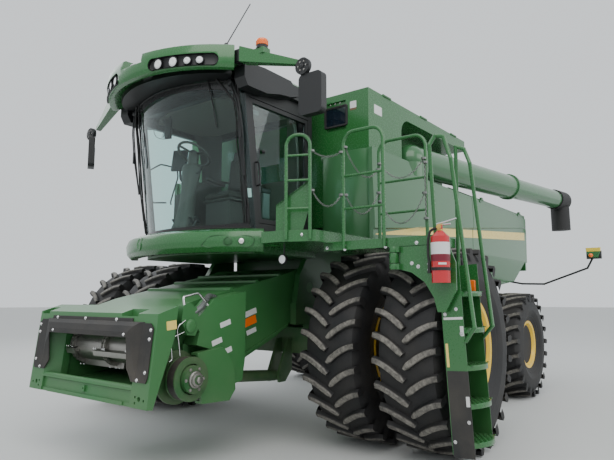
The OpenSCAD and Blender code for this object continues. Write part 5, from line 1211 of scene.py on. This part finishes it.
# Guard sheet behind the grab hoop: folded green plate on the deck's slanted corner, clamped to the
# hoop's posts. Its top edge rises away from the door and is folded over.
deck_corner, deck_end = spot_at(1.390, 1.420, 0), spot_at(1.250, 1.720, 0)
edge_way = (deck_end - deck_corner).normalized()
inwards = Vector((-edge_way.y, edge_way.x, 0))
sheet_at = Matrix.Translation(deck_corner + inwards * 0.046) \
    @ Matrix((edge_way, Vector((0, 0, 1)), -inwards)).transposed().to_4x4()
guard = start()
add_plate(guard, [(-0.065, 2.131), (0.200, 2.131), (0.272, 2.38), (0.272, 2.61), (-0.065, 2.373)], 0.003,
          sheet_at)
add_plate(guard, [(-0.065, 2.373), (0.272, 2.61), (0.272, 2.606), (-0.065, 2.369)], 0.022, sheet_at)
piece("hoop_guard", guard, body_green, "chassis", 35)

studs = start()
for i in range(15):
    for j in range(13):
        x, y = 0.26 + 0.062 * i, 0.98 + 0.062 * j + 0.031 * (i % 2)
        add_block(studs, (x - 0.014, y - 0.004, 2.1295), (x + 0.014, y + 0.004, 2.1325), 0.001,
                  axle_frame, 1)
piece("deck_studs", studs, body_green, "chassis", 30)


def hanging(first, last, sag, steps=24):
    """The curve of a slack chain between two points."""
    first, last = Vector(first), Vector(last)
    shares = [i / steps for i in range(steps + 1)]
    return [first.lerp(last, t) - Vector((0, 0, sag * 4 * t * (1 - t))) for t in shares]


def add_chain(mesh, line, wire=0.0036, link=0.030):
    """Oval links along a line, each turned a quarter from the one before."""
    lengths = [0.0]
    for a, b in zip(line, line[1:]):
        lengths.append(lengths[-1] + (b - a).length)
    pitch = link - 2 * wire
    count = max(2, round(lengths[-1] / pitch))
    for n in range(count):
        reach = (n + 0.5) * lengths[-1] / count
        i = max(k for k in range(len(lengths) - 1) if lengths[k] <= reach)
        t = (reach - lengths[i]) / max(1e-6, lengths[i + 1] - lengths[i])
        at, along = line[i].lerp(line[i + 1], t), (line[i + 1] - line[i]).normalized()
        flat = along.cross(Vector((0.3, 1, 0.2))).normalized()
        side = flat if n % 2 else along.cross(flat)
        ring = []
        for a in turns(10):
            stretch = link / 2 - wire if abs(math.cos(a)) > 0.3 else (link / 2 - wire) * 0.8
            ring.append(at + along * math.cos(a) * stretch + side * math.sin(a) * link * 0.27)
        normal = along.cross(side)
        loops = []
        for p in ring:
            out = (p - at).normalized()
            loops.append([mesh.verts.new(p + out * wire * math.cos(b) + normal * wire * math.sin(b))
                          for b in (0, math.pi / 2, math.pi, 3 * math.pi / 2)])
        add_skin(mesh, loops + loops[:1], caps=False)


chain_steel = finish("chain_steel", (0.20, 0.21, 0.20), 0.4, metal=0.85, on_top=0.05, low_down=0.05)
chains, hooks = start(), start()
hoop_post, first_post, next_post, last_post = (1.262, 1.69), (0.962, 1.865), (0.498, 1.96), (0.503, 2.47)
for first, last, sag in (
        ((*hoop_post, 2.88), (0.992, 1.835, 2.90), 0.05), ((*hoop_post, 2.50), (0.992, 1.835, 2.48), 0.13),
        ((*first_post, 2.95), (*next_post, 2.80), 0.17), ((*first_post, 2.48), (*next_post, 2.56), 0.20),
        ((0.498, 1.975, 2.86), (*last_post, 2.84), 0.17), ((0.498, 1.975, 2.47), (*last_post, 2.50), 0.26),
        ((0.503, 2.482, 2.80), (0.513, 2.484, 2.25), 0.0)):
    line = [spot_at(*p) for p in hanging(first, last, sag)]
    add_chain(chains, line)
    for end in (line[0], line[-1]):
        add_turned(hooks, [(0.010, -0.012), (0.0235, -0.010), (0.0235, 0.010), (0.010, 0.012)],
                   Matrix.Translation(end), 16)
piece("guard_chains", chains, chain_steel, "chassis", 50)
piece("chain_rings", hooks, chain_steel, "chassis", 50)

# Ladder: folded side plates in green with toothed grating on the treads, a black guard with a white and a
# yellow reflecting strip, and a small amber marker and blank tags on the arm.
ladder_at = Matrix.Translation((axle_x, 2.865, 0.2)) @ Matrix.Rotation(math.radians(3.2), 4,
    "X") @ Matrix.Translation((0, 0, -0.2))
teeth = start()
for step in range(5):
    top = 0.34 + 0.3 * step
    for i in range(11):
        for j in range(5):
            x, y = 0.545 + 0.035 * i, 0.035 + 0.045 * j + 0.02 * (i % 2)
            if y < 0.255 - 1.1 * (x - 0.72) ** 2:
                add_turned(teeth, [(0.012, top - 0.002), (0.012, top + 0.004), (0.007, top + 0.005),
                                   (0.007, top - 0.002)],
                           ladder_at @ Matrix.Translation((x, y, 0)), 10)
piece("tread_grating", teeth, body_green, "ladder", 40)
strips = start()
for low, high in (((0.9300, 0.150, 1.18), (0.9312, 0.180, 1.26)),
                  ((0.9300, 0.150, 0.62), (0.9312, 0.180, 0.70)),
                  ((0.9300, 0.014, 1.315), (0.9312, 0.180, 1.335))):
    add_block(strips, low, high, 0.0, ladder_at)
piece("ladder_white_strips", strips, white_sticker, "ladder")
strips = start()
add_block(strips, (0.9300, 0.012, 0.93), (0.9312, 0.034, 1.12), 0.0, ladder_at)
piece("ladder_yellow_strip", strips, stripe_yellow, "ladder")
marker = start()
marker_at = ladder_at @ Vector((0.515, 0.10, 1.60))
add_block(marker, (-0.004, -0.032, -0.052), (0.022, 0.032, 0.052), 0.010,
          Matrix.Translation(marker_at + Vector((0.006, 0.03, 0))), 3)
piece("ladder_marker", marker, lens_amber, "ladder", 40)
arm_bolts = start()
for y, z in ((0.03, 1.40), (0.13, 1.40), (0.03, 1.36), (0.10, 1.70), (0.16, 1.20), (0.16, 0.50),
             (0.03, 0.34)):
    add_bolts(arm_bolts, [ladder_at @ Vector((0.9302, y, z))], (1, 0, 0), 0.018)
piece("ladder_plate_bolts", arm_bolts, bright_steel, "ladder", 40)

# Extinguisher: a red steel bottle strapped to the ladder's arm, with a blank white label, a dark band, a
# black hose and a squeeze lever over a brass valve.
red_paint = finish("red_paint", (0.50, 0.010, 0.016), 0.22, coat=0.5, low_down=0.1, on_top=0.05)
brass = finish("brass", (0.62, 0.40, 0.12), 0.3, metal=1.0, on_top=0, low_down=0)
dark_red = finish("dark_red", (0.16, 0.006, 0.02), 0.35, on_top=0, low_down=0)
dress(red_paint, "extinguisher")
bottle = spot_at(1.075, 2.870, 0)


def add_wrap(mesh, radius, low, high, first, last, thick=0.0012, steps=24):
    """A sticker wrapped round the bottle between two turns."""
    rows = []
    for i in range(steps + 1):
        a = math.radians(first + (last - first) * i / steps)
        way = Vector((math.cos(a), math.sin(a), 0))
        rows.append([mesh.verts.new(bottle + way * r + Vector((0, 0, z)))
                     for r, z in ((radius, low), (radius, high), (radius + thick, high),
                                  (radius + thick, low))])
    add_skin(mesh, rows)


wrap = start()
add_wrap(wrap, 0.0765, 1.852, 1.950, -75, 150)
add_wrap(wrap, 0.0765, 1.766, 1.782, 10, 60)
piece("bottle_label", wrap, white_sticker, "ladder", 40)
wrap = start()
add_wrap(wrap, 0.0765, 1.795, 1.850, -75, 150)
piece("bottle_band", wrap, dark_red, "ladder", 40)
fittings = start()
add_wrap(fittings, 0.0770, 1.720, 1.745, 0, 359, 0.004, 48)
add_tube(fittings, rounded([bottle + Vector((-0.01, -0.03, 2.075)), bottle + Vector((0.0, -0.085, 2.06)),
                            bottle + Vector((0.01, -0.104, 1.98)), bottle + Vector((0.02, -0.100, 1.84)),
                            bottle + Vector((0.02, -0.092, 1.80))], 0.05), 0.0105, 12)
add_turned(fittings, [(0.011, 0.0), (0.015, -0.01), (0.013, -0.06), (0.019, -0.10), (0.0, -0.10)],
           Matrix.Translation(bottle + Vector((0.02, -0.092, 1.80))), 16)
piece("bottle_hose", fittings, black_rubber, "ladder", 45)
valve = start()
add_turned(valve, [(0.026, 2.045), (0.026, 2.06), (0.018, 2.066), (0.018, 2.092), (0.024, 2.0925),
                   (0.024, 2.103), (0.0, 2.105)],
           Matrix.Translation(bottle), 24)
add_turned(valve, [(0.0, 0.0), (0.020, 0.0), (0.020, 0.016), (0.0, 0.018)],
           turned_to(bottle + Vector((0.020, 0.0, 2.078)), (1, 0.4, 0)), 20)
piece("bottle_valve", valve, brass, "ladder", 45)
lever = start()
for lift, reach in ((2.108, 0.14), (2.100, 0.09)):
    rise = 0.034 if reach > 0.1 else 0.002
    add_tube(lever, rounded([bottle + Vector((-0.01, -0.03, lift)),
                             bottle + Vector((-0.01, 0.03, lift + rise * 0.3)),
                             bottle + Vector((-0.01, reach, lift + rise))], 0.03), 0.0075, 10)
piece("bottle_lever", lever, bright_steel, "ladder", 45)

# Rear lamp arms: long black tube arms carry a shell in yellow and green over an orange clearance lamp on
# each side of the machine.
dress(black_plastic, "lamp_arms")
shells, yellow_tops, clearance = start(), start(), start()


def half_at(z):
    """Half the shell's width at a height from its middle: it tapers below, and flares a little on top."""
    return 0.070 + 0.034 * (z + 0.068) / 0.088 if z < 0.02 else 0.104 + 0.008 * (z - 0.02) / 0.078


for side in (-1, 1):
    placed = Matrix.Translation(spot_at(-4.812, side * 2.94, 2.225)) @ Matrix(((0, 0, 1), (side, 0, 0),
        (0, 1, 0))).to_4x4()
    for mesh, top, foot, deep in ((yellow_tops, 0.098, 0.035, 0.020), (shells, 0.035, -0.068, 0.022)):
        rings = []
        for size, out in ((1.0, -0.002), (1.0, deep), (0.93, deep + 0.008)):
            rings.append([mesh.verts.new(placed @ Vector((x * size, z * (0.97 if size < 1 else 1), out)))
                          for x, z in ((-half_at(foot), foot), (half_at(foot), foot), (half_at(top), top),
                                       (-half_at(top), top))])
        add_skin(mesh, rings)
    lens_at = turned_to(spot_at(-4.785, side * 2.905, 2.195), (1, 0, 0))
    add_turned(clearance, [(0.034, 0.0), (0.034, 0.020), (0.030, 0.030), (0.018, 0.036), (0.0, 0.037)],
               lens_at, 28)
piece("lamp_shells", shells, body_green, "chassis", 40)
piece("lamp_shell_tops", yellow_tops, finish("shell_yellow", (0.75, 0.58, 0.06), 0.3, coat=0.3, on_top=0.05,
                                             low_down=0.05),
      "chassis", 40)
piece("clearance_lamps", clearance, lens_amber, "chassis", 45)


# Feeder house: the green channel that lifts the crop from the header to the threshing drum. Its face is a
# welded frame with a rubber hood bolted round the mouth, and two chains of steel slats turn inside.
feeder_green = finish("feeder_green", (0.036, 0.160, 0.046), 0.42, coat=0.08, on_top=0.05, low_down=0.16,
                      spread=0.02)
dress(feeder_green, "feeder_house", "feeder_frame", "feeder_shield")
dress(black_rubber, "feeder_surround")
dress(worn_steel, "feeder_conveyor", "lift_rods")
dress(frame_green, "lift_barrels", "header_drive")
soften(0.003, "feeder_surround", "feeder_frame", "feeder_shield", "feeder_house")
feeder_face = Matrix.Translation(spot_at(2.504, 0, 0.6)) @ Matrix.Rotation(math.radians(-6.6), 4, "Y")
face_out = (feeder_face.to_3x3() @ Vector((1, 0, 0))).normalized()
hood_bolts = start()
for y, z in ((0.905, 0.635), (0.900, 0.560), (0.895, 0.290), (0.800, 0.222)):
    for side in (-1, 1):
        add_bolts(hood_bolts, [feeder_face @ Vector((0.0123, side * y, z))], face_out, 0.019)
for y in (-0.60, -0.10, 0.40):
    add_bolts(hood_bolts, [feeder_face @ Vector((0.0123, y, 0.712))], face_out, 0.019)
for y in (-0.57, 0.60):
    add_bolts(hood_bolts, [feeder_face @ Vector((0.0600, y, 0.585))], face_out, 0.017)
piece("hood_bolts", hood_bolts, bright_steel, "feeder", 40)

# Feeder chains: flat link plates either side of each strand, with rollers between them, and the bolts that
# hold the slats. They are bare steel, polished by the crop.
links = start()
drum_at = spot_at(2.125, 0, 1.030)
for strand in (-0.540, 0.0, 0.540):
    for k in range(-6, 8):
        a = math.radians(-14.7 + 12.9 * k)
        middle = drum_at + Vector((math.cos(a) * 0.174, strand, math.sin(a) * 0.174))
        turned_link = Matrix.Translation(middle) @ Matrix.Rotation(-a, 4, "Y")
        for side in (-1, 1):
            low, high = sorted((side * 0.0205, side * 0.0265))
            add_plate(links, [(0.0132 * math.cos(b), 0.024 * math.sin(b)) for b in turns(10)], 0.005,
                      turned_link @ Matrix.Translation((0, low, 0)) @ Matrix.Rotation(math.radians(90), 4,
                          "X")
                      @ Matrix.Translation((0, 0, -0.005)))
        add_turned(links, [(0.0, -0.030), (0.0065, -0.030), (0.0065, 0.030), (0.0, 0.030)],
                   turned_link @ Matrix.Rotation(math.radians(90), 4, "X"), 8)
piece("feeder_chain_links", links, worn_steel, "feeder", 40)
slat_bolts = start()
for turn, places in ((-12, (-0.595, -0.565, -0.515, -0.490, -0.115, -0.085, 0.030, 0.060, 0.40, 0.50,
                            0.58)),
                     (58, (-0.57, -0.51, -0.05, 0.05, 0.11, 0.50, 0.58))):
    a = math.radians(-14.7 - turn)
    way = Vector((math.cos(a), 0, math.sin(a)))
    for y in places:
        add_bolts(slat_bolts, [drum_at + way * 0.2022 + Vector((0, y, 0))], way, 0.013)
piece("slat_bolts", slat_bolts, bright_steel, "feeder", 40)

# Header drive: a broad belt wraps the sheave, and the shaft's end has a splined steel collar with a nut.
belt = start()
sheave = Matrix.Translation(spot_at(2.065, 0, 0.800)) @ Matrix.Rotation(math.radians(-90), 4, "X")
add_turned(belt, [(0.1685, 0.8855), (0.186, 0.8860), (0.186, 0.9745), (0.1685, 0.9745), (0.1685, 0.950),
                  (0.1685, 0.910)],
           sheave, 64)
piece("drive_belt", belt, black_rubber, "header_drive", 40)
collar = start()
add_turned(collar, [(0.0405, 1.030), (0.072, 1.0302), (0.072, 1.046), (0.062, 1.050), (0.058, 1.072),
                    (0.0405, 1.075)],
           sheave, 32)
add_turned(collar, [(0.0, 1.0802), (0.030, 1.0802), (0.030, 1.092), (0.020, 1.096), (0.0, 1.096)], sheave,
           6)
for a in turns(6):
    add_bolts(collar, [sheave @ Vector((0.098 * math.cos(a), 0.098 * math.sin(a), 1.0303))], (0, 1, 0),
              0.018)
piece("shaft_collar", collar, worn_steel, "header_drive", 40)


# Blank stickers on the feeder's left wall, on its drive's shield and on the face frame's end, where the
# real ones warn and instruct. They are printed film, pressed on.
house_side, shield_side = 0.6902, 0.8902
labels = start()
for x, y, low, wide, tall in ((1.118, house_side, 1.285, 0.20, 0.060),
                              (1.072, house_side, 1.105, 0.15, 0.050),
                              (1.640, shield_side, 1.212, 0.14, 0.050),
                              (1.740, shield_side, 1.050, 0.13, 0.050),
                              (1.600, shield_side, 0.960, 0.12, 0.050)):
    add_sticker(labels, spot_at(x, y, low), (-1, 0, 0.28), (0.28, 0, 1), wide, tall)
piece("feeder_labels", labels, white_sticker, "feeder")
labels = start()
add_sticker(labels, spot_at(1.118, house_side, 1.185), (-1, 0, 0.28), (0.28, 0, 1), 0.20, 0.085)
piece("feeder_orange_label", labels, lens_amber, "feeder")
labels = start()
add_sticker(labels, spot_at(2.325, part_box("feeder_frame")[1][1] + 0.0002, 1.225), (-1, 0, 0.1), (0.1, 0, 1),
            0.105, 0.075)
piece("frame_yellow_label", labels, stripe_yellow, "feeder")

# Multi-coupler: a cast block on the feeder's left edge, where a header's hoses and cable are joined in
# one stroke of a bent steel handle. Two wrapped hoses run back, and wire cables hang down to the drive.
coupler = start()
coupler_plane = Matrix.Translation(spot_at(0, 0.90, 0)) @ Matrix.Rotation(math.radians(90), 4, "X")
add_plate(coupler, [(2.10, 1.43), (2.03, 1.46), (1.94, 1.40), (1.91, 1.25), (1.96, 1.16), (2.05, 1.17),
                    (2.12, 1.30)],
          0.10, coupler_plane)
add_block(coupler, (1.93, 0.68, 1.20), (2.06, 0.81, 1.40), 0.01, axle_frame)
add_turned(coupler, [(0.0, 0.0), (0.060, 0.0), (0.060, 0.018), (0.050, 0.026), (0.030, 0.028),
                     (0.0, 0.028)],
           turned_to(spot_at(2.02, 0.899, 1.25), (0, 1, 0)), 32)
piece("coupler_block", coupler, feeder_green, "feeder", 45)
handle = start()
add_tube(handle, rounded([spot_at(2.08, 0.885, 1.43), spot_at(2.081, 0.87, 1.506),
                          spot_at(1.907, 0.87, 1.542),
                          spot_at(1.782, 0.87, 1.432), spot_at(1.950, 0.87, 1.397)], 0.02), 0.011, 14)
for line in ([(2.08, 0.905, 1.30), (2.150, 0.905, 1.26), (2.167, 0.90, 1.221), (2.141, 0.90, 1.091),
              (2.127, 0.90, 0.996)],
             [(2.09, 0.905, 1.20), (2.210, 0.900, 1.16), (2.228, 0.90, 1.097), (2.212, 0.90, 0.969),
              (2.245, 0.90, 0.955)]):
    add_tube(handle, rounded([spot_at(*spot) for spot in line], 0.02), 0.006, 10)
piece("coupler_handle", handle, bright_steel, "feeder", 45)
wraps = start()
for line in ([(2.02, 0.86, 1.33), (1.94, 0.88, 1.375), (1.86, 0.88, 1.425), (1.72, 0.80, 1.515),
              (1.56, 0.72, 1.50), (1.45, 0.66, 1.44)],
             [(2.02, 0.84, 1.25), (1.96, 0.83, 1.31), (1.868, 0.78, 1.36), (1.74, 0.74, 1.41),
              (1.62, 0.70, 1.42), (1.55, 0.66, 1.40)]):
    way = rounded([spot_at(*spot) for spot in line], 0.04, 6)
    add_tube(wraps, way, [0.025 + 0.004 * (k % 2) for k in range(len(way))], 14)
clear_wrap = finish("clear_wrap", (0.13, 0.145, 0.14), 0.3, metal=0.4, on_top=0.1, low_down=0.1,
                    spread=0.15, size=80, tone=0.2)
piece("coupler_hoses", wraps, clear_wrap, "feeder", 45)
